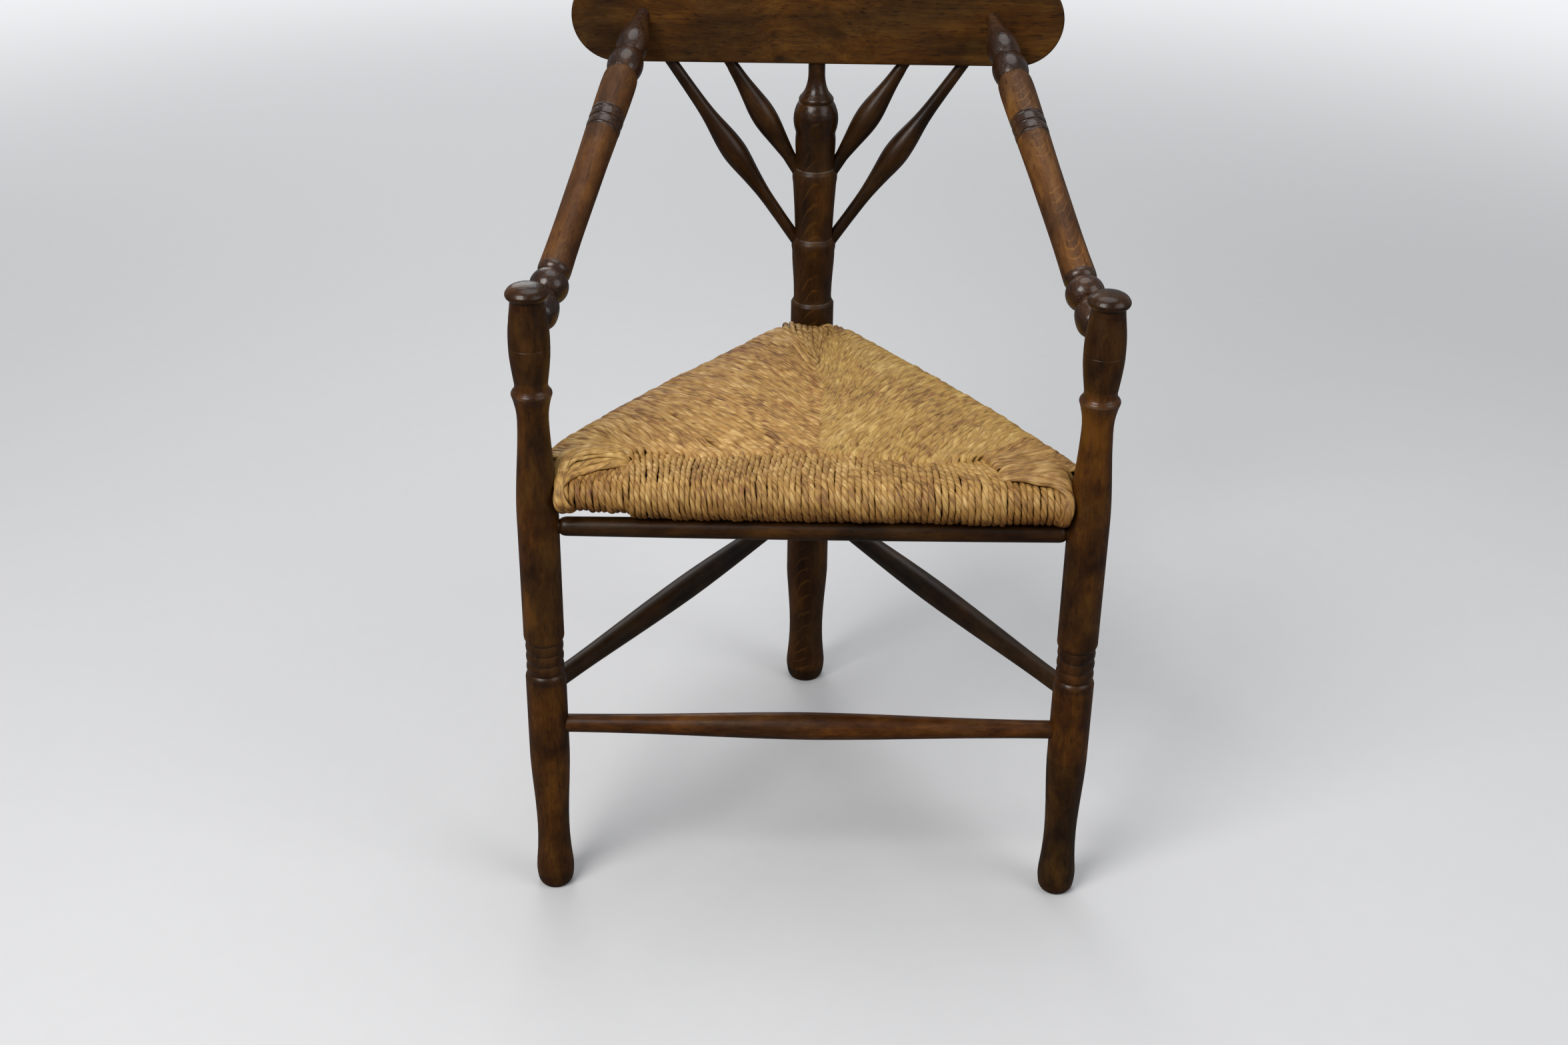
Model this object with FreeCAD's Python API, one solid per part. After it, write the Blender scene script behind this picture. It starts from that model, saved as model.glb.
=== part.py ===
import FreeCAD, Part
import os

# Three-legged turned corner chair with a triangular rush seat.
# Millimetres, +X to the sitter's left, +Y to the back, +Z up, origin on the floor under the middle.

Vector = FreeCAD.Vector

# Overall sizes
post_spacing = 472.0
seat_depth = 369.7
seat_rail_z = 408.5

# Posts
front_post_d = 36.2
front_cap_d = 36.0
ring_pitch = 10.6
rear_post_d = 43.2
rear_neck_cut = 4.8

# Back board
board_length = 461.0
board_height = 85.2
board_thickness = 22.0
board_rise = 276.9
board_edge_radius = 2.5

# Heights above the front seat rail
arm_socket_rise = 140.9
side_rail_rise_front = 10.5
side_rail_rise_rear = 2.5
arm_board_rise = 320.8

# Arms meet the board this far from its middle
arm_board_x = 164.0

# Stretchers
front_stretcher_z = 177.6
front_stretcher_end_d = 16.6
front_stretcher_d = 25.0
side_stretcher_z = 216.0
side_stretcher_end_d = 17.2
side_stretcher_d = 24.2
side_stretcher_tenon_d = 12.0

# Seat rails and the apron rail under the front one
rail_d = 21.0
rail_tenon_d = 12.0
rail_taper = 26.0
apron_d = 18.6
apron_end_d = 17.0
apron_tenon_d = 12.6
apron_gap = 0.4

# Arms
arm_tenon_d = 14.0
arm_board_tenon_d = 12.6
arm_board_tenon_depth = 13.0
arm_ring_pitch = 10.4
arm_groove = 3.0

# Back spindles: where they leave the board, and where their axes cross the rear post's axis
spindle_top_d = 10.8
outer_spindle_x = 139.3
outer_spindle_rise = 73.3
outer_spindle_d = 24.2
outer_spindle_foot_d = 11.7
outer_spindle_belly_at = 106.8
inner_spindle_x = 83.2
inner_spindle_rise = 143.1
inner_spindle_d = 24.0
inner_spindle_foot_d = 12.6
inner_spindle_belly_at = 63.5
spindle_tenon_depth = 20.0
spindle_stop = 9.0

# Rear post's neck and its tenon in the board
neck_d = 16.0
neck_tenon_d = 13.0
neck_tenon_depth = 28.0

# Tenons stop this far from a post's axis, so that two in one post stay apart
front_tenon_stop = 8.0
rear_tenon_stop = 13.0
arm_tenon_stop = 5.0

# Fits
socket_clearance = 0.1
socket_end_gap = 1.0
rush_clearance = 0.4

# Rush
front_roll_d = 37.4
corner_roll_d = 31.0
side_roll_d = 34.0
right_roll_swell = 14.0
right_roll_knee = 64.0
left_roll_swell = 8.0
left_roll_knee = 110.0
front_seam_setback = 52.0
front_seam_half = 157.0
centre_top_rise = 16.5
centre_bottom_rise = -14.5

# Worked out from the sizes above
front_y = -(seat_depth + (rear_post_d - front_roll_d) / 2.0) / 2.0
rear_y = front_y + seat_depth
board_bottom_z = seat_rail_z + board_rise
board_front_y = rear_y - board_thickness / 2.0
apron_z = seat_rail_z - front_roll_d / 2.0 - apron_gap - apron_d / 2.0


class Turning:
    """Half outline of a lathe-turned piece, drawn along its axis from its lower end."""

    def __init__(self, z, d):
        self.start = Vector(0, 0, z)
        self.edges = []
        self.here = Vector(d / 2.0, 0, z)
        self.edges.append(Part.LineSegment(self.start, self.here).toShape())

    def to(self, z, d):
        """A straight stretch, or a flat step when z stays."""
        there = Vector(d / 2.0, 0, z)
        self.edges.append(Part.LineSegment(self.here, there).toShape())
        self.here = there

    def bead(self, z, d, crest_z, crest_d):
        """A round stretch through its widest or narrowest place."""
        there = Vector(d / 2.0, 0, z)
        crest = Vector(crest_d / 2.0, 0, crest_z)
        self.edges.append(Part.Arc(self.here, crest, there).toShape())
        self.here = there

    def swell(self, *stations):
        """A smooth curve through (z, diameter) stations."""
        points = [self.here] + [Vector(d / 2.0, 0, z) for z, d in stations]
        curve = Part.BSplineCurve()
        curve.interpolate(points)
        self.edges.append(curve.toShape())
        self.here = points[-1]

    def solid(self):
        end = Vector(0, 0, self.here.z)
        self.edges.append(Part.LineSegment(self.here, end).toShape())
        self.edges.append(Part.LineSegment(end, self.start).toShape())
        face = Part.Face(Part.Wire(self.edges))
        return face.revolve(Vector(0, 0, 0), Vector(0, 0, 1), 360)


def laid(solid, start, end):
    """The solid with its +Z axis turned from start towards end."""
    turned = solid.copy()
    turned.Placement = FreeCAD.Placement(start, FreeCAD.Rotation(Vector(0, 0, 1), end - start))
    return turned


def socket(start, end, first, last, d):
    """The hole for a tenon that runs from first to last along the line from start to end."""
    direction = (end - start).normalize()
    radius = d / 2.0 + socket_clearance
    base = start + direction * (first - socket_end_gap)
    return Part.makeCylinder(radius, last - first + socket_end_gap, base, direction)


def cut_all(solid, tools):
    for tool in tools:
        solid = solid.cut(tool)
    return solid


def turned_down(full, *stations):
    """Stations given as (z, how much is turned off the full diameter)."""
    return [(z, full - cut) for z, cut in stations]


def front_post(x, sockets):
    """Front post: bulb foot, ringed shaft, waist under a collar, vase and mushroom cap."""
    full = front_post_d
    waist_z = seat_rail_z + 74.5
    post = Turning(0.0, full - 11.0)
    post.swell(*turned_down(full, (3.0, 5.8), (9.0, 2.7), (17.0, 1.5), (26.0, 2.5), (38.0, 4.7),
                            (52.0, 6.3), (66.0, 6.8), (81.0, 6.2), (98.0, 4.6), (114.0, 2.7),
                            (129.0, 1.1), (146.0, 0.0)))
    post.to(227.0, full)
    post.bead(234.0, full - 5.0, 231.8, full - 1.6)
    ring_z = 234.0
    for ring in range(3):
        post.bead(ring_z + ring_pitch, full - 4.8, ring_z + ring_pitch / 2.0, full - 2.4)
        ring_z += ring_pitch
    post.bead(ring_z + 7.0, full - 0.2, ring_z + 2.4, full - 1.6)
    post.to(seat_rail_z - 20.0, full)
    post.swell(*turned_down(full, (seat_rail_z + 5.0, 1.3), (seat_rail_z + 30.0, 4.7),
                            (seat_rail_z + 50.0, 7.7), (waist_z - 10.0, 9.2), (waist_z, 9.5),
                            (waist_z + 8.0, 8.2), (waist_z + 15.0, 5.4), (waist_z + 20.0, 2.6)))
    post.bead(waist_z + 25.5, full - 4.8, waist_z + 22.8, full - 1.5)
    post.bead(waist_z + 31.5, full - 7.9, waist_z + 28.4, full - 7.6)
    scribe_z = seat_rail_z + arm_socket_rise - 1.2
    post.swell(*turned_down(full, (waist_z + 38.0, 6.2), (waist_z + 47.0, 3.8), (waist_z + 56.0, 2.1),
                            (scribe_z - 0.5, 1.5)))
    post.to(scribe_z, full - 2.1)
    post.to(scribe_z + 0.5, full - 1.5)
    post.swell(*turned_down(full, (scribe_z + 8.0, 1.6), (scribe_z + 16.0, 2.4), (scribe_z + 25.0, 4.3),
                            (scribe_z + 34.0, 6.6), (scribe_z + 40.3, 7.9)))
    post.to(scribe_z + 41.6, front_cap_d - 5.0)
    post.bead(scribe_z + 47.9, front_cap_d - 1.8, scribe_z + 45.0, front_cap_d)
    post.swell(*turned_down(front_cap_d, (scribe_z + 50.6, 6.4), (scribe_z + 52.7, 15.0),
                            (scribe_z + 53.8, 26.0), (scribe_z + 54.0, 32.0)))
    solid = post.solid()
    solid.translate(Vector(x, front_y, 0))
    return cut_all(solid, sockets)


def rear_post(sockets):
    """Rear post: bulb foot, three collars, ball, fillet ring and slim neck with its tenon."""
    full = rear_post_d
    rise = seat_rail_z
    post = Turning(0.0, full - 10.2)
    post.swell(*turned_down(full, (3.0, 6.8), (9.0, 3.8), (17.0, 2.3), (26.0, 3.5), (38.0, 5.7),
                            (50.0, 7.2), (63.0, 7.7), (78.0, 7.1), (96.0, 5.0), (114.0, 2.4),
                            (128.0, 0.4), (142.0, 0.0)))
    post.to(rise + 32.5, full - 0.5)
    post.to(rise + 36.0, full - 4.6)
    post.swell(*turned_down(full, (rise + 38.5, 5.6), (rise + 42.5, 5.8), (rise + 62.0, 4.0),
                            (rise + 88.0, 1.2)))
    post.bead(rise + 98.0, full - 0.9, rise + 95.5, full)
    post.to(rise + 102.0, full - 5.2)
    post.swell(*turned_down(full, (rise + 103.5, 5.7), (rise + 114.0, 5.9), (rise + 134.0, 4.0),
                            (rise + 158.0, 0.9)))
    post.bead(rise + 169.2, full - 0.7, rise + 166.6, full + 0.2)
    post.to(rise + 173.0, full - 4.4)
    post.swell(*turned_down(full, (rise + 174.5, rear_neck_cut), (rise + 190.0, rear_neck_cut),
                            (rise + 206.0, rear_neck_cut + 0.1)))
    post.bead(rise + 209.0, full - 4.4, rise + 207.4, full - 4.9)
    post.bead(rise + 237.5, full - 8.8, rise + 221.6, full)
    post.to(rise + 238.5, full - 10.8)
    post.bead(rise + 243.0, full - 11.6, rise + 240.8, full - 9.8)
    post.swell((rise + 245.6, neck_d + 11.4), (rise + 248.5, neck_d + 7.4), (rise + 253.5, neck_d + 3.4),
               (rise + 259.5, neck_d + 0.8), (rise + 264.0, neck_d))
    post.to(board_bottom_z, neck_d)
    post.to(board_bottom_z, neck_tenon_d)
    post.to(board_bottom_z + neck_tenon_depth, neck_tenon_d)
    solid = post.solid()
    solid.translate(Vector(0, rear_y, 0))
    return cut_all(solid, sockets)


def back_board(sockets):
    """Flat board with half-round ends, its long edges eased."""
    radius = board_height / 2.0
    straight = board_length / 2.0 - radius
    y = board_front_y
    low = board_bottom_z
    high = low + board_height
    middle = low + radius
    low_right = Vector(-straight, y, low)
    low_left = Vector(straight, y, low)
    high_right = Vector(-straight, y, high)
    high_left = Vector(straight, y, high)
    outline = Part.Wire([
        Part.LineSegment(low_right, low_left).toShape(),
        Part.Arc(low_left, Vector(straight + radius, y, middle), high_left).toShape(),
        Part.LineSegment(high_left, high_right).toShape(),
        Part.Arc(high_right, Vector(-straight - radius, y, middle), low_right).toShape(),
    ])
    board = Part.Face(outline).extrude(Vector(0, board_thickness, 0))
    rims = [edge for edge in board.Edges if abs(edge.BoundBox.YLength) < 0.01]
    board = board.makeFillet(board_edge_radius, rims)
    return cut_all(board, sockets)


def arm_line(side):
    """From the front post's axis up to the board's front face."""
    low = Vector(side * post_spacing / 2.0, front_y, seat_rail_z + arm_socket_rise)
    high = Vector(side * arm_board_x, board_front_y, seat_rail_z + arm_board_rise)
    return low, high


def arm(side):
    """Sloping arm: two balls by the post, long ringed shaft, two balls and a neck by the board."""
    low, high = arm_line(side)
    run = high - low
    length = run.Length
    level = Vector(run.x, run.y, 0).Length
    across = Vector(run.x, 0, run.z).Length
    low_end = (front_post_d / 2.0 - 1.0) * length / level + arm_tenon_d / 2.0 * run.z / level
    high_end = length - arm_board_tenon_d / 2.0 * across / run.y - 0.2
    bar = Turning(arm_tenon_stop, arm_tenon_d)

    at = low_end
    bar.to(at, arm_tenon_d)
    bar.swell((at + 1.0, 18.4), (at + 2.6, 24.4), (at + 5.0, 28.4), (at + 8.6, 30.7), (at + 13.6, 31.2),
              (at + 18.6, 30.3), (at + 23.6, 27.9), (at + 27.1, 25.0), (at + 30.1, 22.4))
    bar.bead(at + 53.2, 23.6, at + 41.8, 33.6)
    bar.swell((at + 54.4, 25.8), (at + 56.6, 27.9), (at + 59.4, 28.5))
    bar.to(at + 59.8, 28.0)
    bar.to(at + 60.2, 28.7)

    slim_from = at + 87.5
    slim_to = high_end - 189.0
    bar.swell((at + 71.6, 28.1), (slim_from, 27.6), ((2.0 * slim_from + slim_to) / 3.0, 27.5),
              ((slim_from + 2.0 * slim_to) / 3.0, 28.1), (slim_to, 28.7), (slim_to + 21.0, 29.6),
              (slim_to + 33.2, 30.1))
    at = slim_to + 33.2
    d = 30.1
    for ring in range(3):
        bar.bead(at + arm_groove, d + 0.2, at + arm_groove / 2.0, d - 2.4)
        if ring < 2:
            bar.bead(at + arm_ring_pitch, d + 0.3, at + (arm_groove + arm_ring_pitch) / 2.0, d + 0.9)
            at += arm_ring_pitch
            d += 0.3

    at = high_end
    bar.swell((at - 123.0, 31.4), (at - 108.0, 31.9), (at - 93.0, 32.0), (at - 85.0, 31.4),
              (at - 80.5, 29.8), (at - 78.2, 26.8))
    bar.bead(at - 50.0, 25.0, at - 65.0, 33.0)
    bar.bead(at - 25.5, 27.0, at - 38.0, 30.6)
    bar.swell((at - 19.0, 23.2), (at - 13.0, 19.6), (at - 7.0, 16.2), (at - 3.0, 14.2),
              (at, arm_board_tenon_d))
    bar.to(length + arm_board_tenon_depth, arm_board_tenon_d)
    return laid(bar.solid(), low, high)


def arm_sockets(side):
    """The arm's holes in the front post and in the board."""
    low, high = arm_line(side)
    length = (high - low).Length
    in_post = socket(low, high, arm_tenon_stop, front_post_d, arm_tenon_d)
    in_board = socket(high, low, -arm_board_tenon_depth, board_thickness / 2.0, arm_board_tenon_d)
    return in_post, in_board


def spindle_line(side, x, rise):
    """From the rear post's axis up to the board's lower edge."""
    low = Vector(0, rear_y, seat_rail_z + rise)
    high = Vector(side * x, rear_y, board_bottom_z)
    return low, high


def spindle(side, x, rise, foot_d, belly_d, belly_at, below, above):
    """Back spindle: slim ends and one swelling, its widest place belly_at from the board.

    Stations below run from the rear post's surface (0) to the widest place (1), and those above
    from there (0) to the board (1).
    """
    low, high = spindle_line(side, x, rise)
    length = (high - low).Length
    belly = length - belly_at
    surface = (rear_post_d - rear_neck_cut) / 2.0 * length / x + foot_d / 2.0 * (high.z - low.z) / x
    stations = [(surface + part * (belly - surface), cut) for part, cut in below]
    stations += [(belly + part * belly_at, cut) for part, cut in above]
    bar = Turning(spindle_stop * length / x, foot_d)
    bar.to(stations[0][0], foot_d)
    bar.swell(*turned_down(belly_d, *stations[1:]))
    bar.swell((length - spindle_top_d / 2.0 * x / (high.z - low.z) - 1.3, spindle_top_d))
    bar.to(length + spindle_tenon_depth, spindle_top_d)
    return laid(bar.solid(), low, high)


def spindle_sockets(side, x, rise, foot_d):
    low, high = spindle_line(side, x, rise)
    length = (high - low).Length
    foot = spindle_stop * length / x
    in_post = socket(low, high, foot, foot + 2.0 * rear_post_d, foot_d)
    in_board = socket(high, low, -spindle_tenon_depth, 6.0, spindle_top_d)
    return in_post, in_board


def between(start, end, first_stop, last_stop, first_d, last_d, *stretches):
    """A round bar between two post axes: a tenon, stretches of (position, diameter), and a tenon.

    A stretch is a list of stations that a smooth curve joins; positions run from the first axis.
    """
    length = (end - start).Length
    bar = Turning(first_stop, first_d)
    for stretch in stretches:
        bar.to(*stretch[0])
        if len(stretch) > 1:
            bar.swell(*stretch[1:])
    bar.to(length - last_stop, last_d)
    return laid(bar.solid(), start, end)


def front_line(z):
    return Vector(-post_spacing / 2.0, front_y, z), Vector(post_spacing / 2.0, front_y, z)


def side_line(side, front_z, rear_z):
    return Vector(side * post_spacing / 2.0, front_y, front_z), Vector(0, rear_y, rear_z)


def side_rail_line(side):
    return side_line(side, seat_rail_z + side_rail_rise_front, seat_rail_z + side_rail_rise_rear)


def seat_rail(start, end, last_stop, last_post_d):
    """Plain round rail, tapered at both ends to its tenons."""
    length = (end - start).Length
    first = front_post_d / 2.0 + 4.0
    last = length - last_post_d / 2.0 - 4.0
    return between(start, end, front_tenon_stop, last_stop, rail_tenon_d, rail_tenon_d,
                   [(first, rail_tenon_d)], [(first + rail_taper, rail_d)],
                   [(last - rail_taper, rail_d)], [(last, rail_tenon_d)])


def apron_rail():
    start, end = front_line(apron_z)
    length = post_spacing
    first = front_post_d / 2.0 + 0.6
    middle = length / 2.0
    return between(start, end, front_tenon_stop, front_tenon_stop, apron_tenon_d, apron_tenon_d,
                   [(first, apron_tenon_d), (first + 1.2, apron_end_d - 2.4),
                    (first + 3.6, apron_end_d - 0.6), (first + 7.5, apron_end_d)],
                   [(first + 8.5, apron_end_d), (middle, apron_d), (length - first - 8.5, apron_end_d)],
                   [(length - first - 7.5, apron_end_d), (length - first - 3.6, apron_end_d - 0.6),
                    (length - first - 1.2, apron_end_d - 2.4), (length - first, apron_tenon_d)])


def front_stretcher():
    start, end = front_line(front_stretcher_z)
    end_d = front_stretcher_end_d
    grow = front_stretcher_d - end_d
    straight = front_post_d / 2.0 + 4.0
    middle = post_spacing / 2.0
    run = middle - straight
    rising = [(0.16, 0.06), (0.34, 0.23), (0.55, 0.52), (0.76, 0.82), (0.90, 0.955)]
    stations = [(straight, end_d)]
    stations += [(straight + part * run, end_d + share * grow) for part, share in rising]
    stations += [(middle, front_stretcher_d)]
    stations += [(post_spacing - z, d) for z, d in reversed(stations[:-1])]
    return between(start, end, front_tenon_stop, front_tenon_stop, end_d, end_d, stations)


def side_stretcher(side):
    start, end = side_line(side, side_stretcher_z, side_stretcher_z)
    length = (end - start).Length
    end_d = side_stretcher_end_d
    grow = side_stretcher_d - end_d
    straight = front_post_d / 2.0 + 5.0
    last = length - rear_post_d / 2.0 - 3.0
    middle = length / 2.0
    rising = [(0.18, 0.08), (0.36, 0.31), (0.56, 0.60), (0.78, 0.87), (0.90, 0.97)]
    stations = [(straight, end_d)]
    stations += [(straight + part * (middle - straight), end_d + share * grow) for part, share in rising]
    stations += [(middle, side_stretcher_d)]
    falling = [(middle + (1.0 - part) * (last - 14.0 - middle), end_d + share * grow)
               for part, share in reversed(rising)]
    stations += falling + [(last - 14.0, end_d - 0.2)]
    neck = [(last - 13.0, end_d - 0.25), (last - 7.0, end_d - 1.3),
            (last - 2.5, side_stretcher_tenon_d + 1.6), (last, side_stretcher_tenon_d)]
    return between(start, end, front_tenon_stop, rear_tenon_stop, end_d, side_stretcher_tenon_d,
                   stations, neck)


def prism(low_points, high_points):
    """Closed solid between two like polygons, its top and bottom made of triangles from point 0."""
    faces = []
    count = len(low_points)
    for index in range(count):
        after = (index + 1) % count
        wall = [low_points[index], low_points[after], high_points[after], high_points[index]]
        faces.append(Part.Face(Part.makePolygon(wall + wall[:1])))
    for points in (low_points, high_points):
        for index in range(1, count - 1):
            triangle = [points[0], points[index], points[index + 1], points[0]]
            faces.append(Part.Face(Part.makePolygon(triangle)))
    shell = Part.Shell(faces)
    shell.sewShape()
    solid = Part.Solid(shell)
    if solid.Volume < 0:
        solid.reverse()
    return solid


def raised(point, z):
    return Vector(point.x, point.y, z)


def roll(start, end, d):
    """The rush wound round a rail, from post axis to post axis."""
    return Part.makeCylinder(d / 2.0, (end - start).Length, start, (end - start).normalize())


def side_roll(start, end, swell, knee):
    """The rush wound round a side rail: fullest at its knee, some way behind the front post."""
    length = (end - start).Length
    barrel = Turning(0.0, side_roll_d)
    rear = length - knee
    barrel.swell((knee * 0.35, side_roll_d + 0.35 * swell),
                 (knee, side_roll_d + swell),
                 (knee + 0.15 * rear, side_roll_d + 1.03 * swell),
                 (knee + 0.40 * rear, side_roll_d + 0.74 * swell),
                 (knee + 0.68 * rear, side_roll_d + 0.50 * swell),
                 (length, side_roll_d + 0.30 * swell))
    return laid(barrel.solid(), start, end)


def plan_block(*points):
    """Tall block over a plan outline, for cutting panels apart."""
    low = [Vector(x, y, 0) for x, y in points]
    return Part.Face(Part.makePolygon(low + [low[0]])).extrude(Vector(0, 0, 2.0 * seat_rail_z))


def front_region():
    """Plan of the front panel: full width at the rail, drawn in to the seam behind it."""
    half = post_spacing / 2.0
    seam_y = front_y + front_seam_setback
    ahead = front_y - front_roll_d
    return plan_block((-half, ahead), (-half, front_y), (-front_seam_half, seam_y),
                      (front_seam_half, seam_y), (half, front_y), (half, ahead))


def side_region(side):
    """Plan of one side panel: from the middle seam and the front panel's edge out past its rail."""
    half = post_spacing / 2.0
    seam_y = front_y + front_seam_setback
    out = side_roll_d
    return plan_block((0, seam_y), (side * front_seam_half, seam_y), (side * half, front_y),
                      (side * (half + out), front_y), (side * (half + out), rear_y + out),
                      (0, rear_y + out))


def rush_panels(rails, posts):
    """The three woven panels: each a roll round its rail and a flat reach to its seams."""
    half = post_spacing / 2.0
    seam_y = front_y + front_seam_setback
    top_z = seat_rail_z + centre_top_rise
    low_z = seat_rail_z + centre_bottom_rise
    keep_out = rails + posts
    panels = {}

    start, end = front_line(seat_rail_z)
    corner_run = half - front_seam_half
    middle_roll = roll(start + Vector(corner_run, 0, 0), end - Vector(corner_run, 0, 0), front_roll_d)
    front_roll = roll(start, end, corner_roll_d).fuse(middle_roll)
    lift = front_roll_d / 2.0 - 0.5
    corner_lift = corner_roll_d / 2.0 - 0.5
    wide = front_seam_half
    reach = prism([Vector(-wide, front_y, seat_rail_z - lift), Vector(wide, front_y, seat_rail_z - lift),
                   Vector(wide, seam_y, low_z), Vector(-wide, seam_y, low_z)],
                  [Vector(-wide, front_y, seat_rail_z + lift), Vector(wide, front_y, seat_rail_z + lift),
                   Vector(wide, seam_y, top_z), Vector(-wide, seam_y, top_z)])
    front_panel = front_roll.fuse(reach)
    for side in (-1, 1):
        corners = [Vector(side * wide, front_y, seat_rail_z), Vector(side * half, front_y, seat_rail_z)]
        seam_end = Vector(side * wide, seam_y, 0)
        gore = prism([raised(point, point.z - corner_lift) for point in corners] + [raised(seam_end, low_z)],
                     [raised(point, point.z + corner_lift) for point in corners] + [raised(seam_end, top_z)])
        front_panel = front_panel.fuse(gore)
    panels["rush_panel_front"] = front_panel.common(front_region())

    for name, side, swell, knee in (("right", -1, right_roll_swell, right_roll_knee),
                                    ("left", 1, left_roll_swell, left_roll_knee)):
        start, end = side_rail_line(side)
        crest = start + (end - start) * (knee / (end - start).Length)
        lift = side_roll_d / 2.0 - 0.5
        full_lift = (side_roll_d + swell) / 2.0 - 0.5
        corner = Vector(side * front_seam_half, seam_y, 0)
        middle = Vector(0, seam_y, 0)
        high = [raised(corner, top_z), raised(middle, top_z), raised(end, end.z + lift),
                raised(crest, crest.z + full_lift), raised(start, start.z + lift)]
        under = [raised(corner, low_z), raised(middle, low_z), raised(end, end.z - lift),
                 raised(crest, crest.z - full_lift), raised(start, start.z - lift)]
        reach = prism(under, high)
        panels["rush_panel_" + name] = side_roll(start, end, swell, knee).fuse(reach).common(side_region(side))

    return {node: cut_all(panel, keep_out) for node, panel in panels.items()}


def grown(line, d, clearance):
    """A rail's own space with clearance round it, for the rush to lie on."""
    start, end = line
    return Part.makeCylinder(d / 2.0 + clearance, (end - start).Length, start, (end - start).normalize())


def post_space(x, y, d):
    """The space that a post and its clearance take at the seat."""
    return Part.makeCylinder(d / 2.0 + rush_clearance, 2.0 * side_roll_d,
                             Vector(x, y, seat_rail_z - side_roll_d), Vector(0, 0, 1))


def build():
    parts = {}
    spindles = (
        ("outer", outer_spindle_x, outer_spindle_rise, outer_spindle_foot_d, outer_spindle_d,
         outer_spindle_belly_at,
         ((0.18, 12.5), (0.23, 12.3), (0.363, 11.9), (0.487, 10.8), (0.60, 8.7), (0.713, 6.0),
          (0.815, 3.2), (0.913, 0.8), (1.0, 0.0)),
         ((0.066, 0.6), (0.159, 2.6), (0.253, 5.5), (0.346, 8.4), (0.44, 10.4), (0.534, 11.5),
          (0.655, 12.3), (0.796, 12.9))),
        ("inner", inner_spindle_x, inner_spindle_rise, inner_spindle_foot_d, inner_spindle_d,
         inner_spindle_belly_at,
         ((0.034, 11.4), (0.139, 10.2), (0.254, 8.7), (0.391, 6.8), (0.569, 4.2), (0.748, 1.7),
          (0.905, 0.3), (1.0, 0.0)),
         ((0.071, 0.2), (0.197, 1.6), (0.331, 4.1), (0.465, 6.7), (0.59, 9.0), (0.732, 10.9),
          (0.85, 12.0))))
    sides = (("right", -1), ("left", 1))
    board_holes = []
    rear_holes = []

    for name, side in sides:
        parts["arm_" + name] = arm(side)
        rail = side_rail_line(side)
        stretcher = side_line(side, side_stretcher_z, side_stretcher_z)
        parts["seat_rail_" + name] = seat_rail(*rail, rear_tenon_stop, rear_post_d)
        parts["side_stretcher_" + name] = side_stretcher(side)
        in_post, in_board = arm_sockets(side)
        board_holes.append(in_board)
        front = [front_line(z) if side < 0 else tuple(reversed(front_line(z)))
                 for z in (seat_rail_z, apron_z, front_stretcher_z)]
        reach = front_post_d
        holes = [in_post,
                 socket(*front[0], front_tenon_stop, reach, rail_tenon_d),
                 socket(*front[1], front_tenon_stop, reach, apron_tenon_d),
                 socket(*front[2], front_tenon_stop, reach, front_stretcher_end_d),
                 socket(*rail, front_tenon_stop, reach, rail_tenon_d),
                 socket(*stretcher, front_tenon_stop, reach, side_stretcher_end_d)]
        parts["front_post_" + name] = front_post(side * post_spacing / 2.0, holes)
        rear_holes.append(socket(*reversed(rail), rear_tenon_stop, rear_post_d, rail_tenon_d))
        rear_holes.append(socket(*reversed(stretcher), rear_tenon_stop, rear_post_d, side_stretcher_tenon_d))
        for kind, x, rise, foot_d, belly_d, belly_at, below, above in spindles:
            bar = spindle(side, x, rise, foot_d, belly_d, belly_at, below, above)
            parts["back_spindle_" + kind + "_" + name] = bar
            in_post, in_board = spindle_sockets(side, x, rise, foot_d)
            rear_holes.append(in_post)
            board_holes.append(in_board)

    neck = Vector(0, rear_y, board_bottom_z)
    board_holes.append(socket(neck, neck + Vector(0, 0, -1), -neck_tenon_depth, 1.0, neck_tenon_d))
    parts["rear_post"] = rear_post(rear_holes)
    parts["back_board"] = back_board(board_holes)

    parts["seat_rail_front"] = seat_rail(*front_line(seat_rail_z), front_tenon_stop, front_post_d)
    parts["apron_rail"] = apron_rail()
    parts["front_stretcher"] = front_stretcher()

    rails = [grown(front_line(seat_rail_z), rail_d, rush_clearance)]
    rails += [grown(side_rail_line(side), rail_d, rush_clearance) for name, side in sides]
    posts = [post_space(side * post_spacing / 2.0, front_y, front_post_d) for name, side in sides]
    posts += [post_space(0, rear_y, rear_post_d)]
    parts.update(rush_panels(rails, posts))
    return parts


def main():
    os.makedirs("parts", exist_ok=True)
    for node, shape in build().items():
        solids = shape.Solids
        if len(solids) != 1 or not solids[0].isValid():
            raise ValueError(node + " isn't one valid solid")
        solids[0].exportStep("parts/" + node + ".step")
        print("%s %.0f mm3" % (node, solids[0].Volume))


main()
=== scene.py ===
"""Looks of a rush-seated corner chair: turned hardwood frame, shaped back board, hand-wound rush."""

import math
import random

import bpy
import numpy as np
from mathutils import Matrix, Vector


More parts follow.
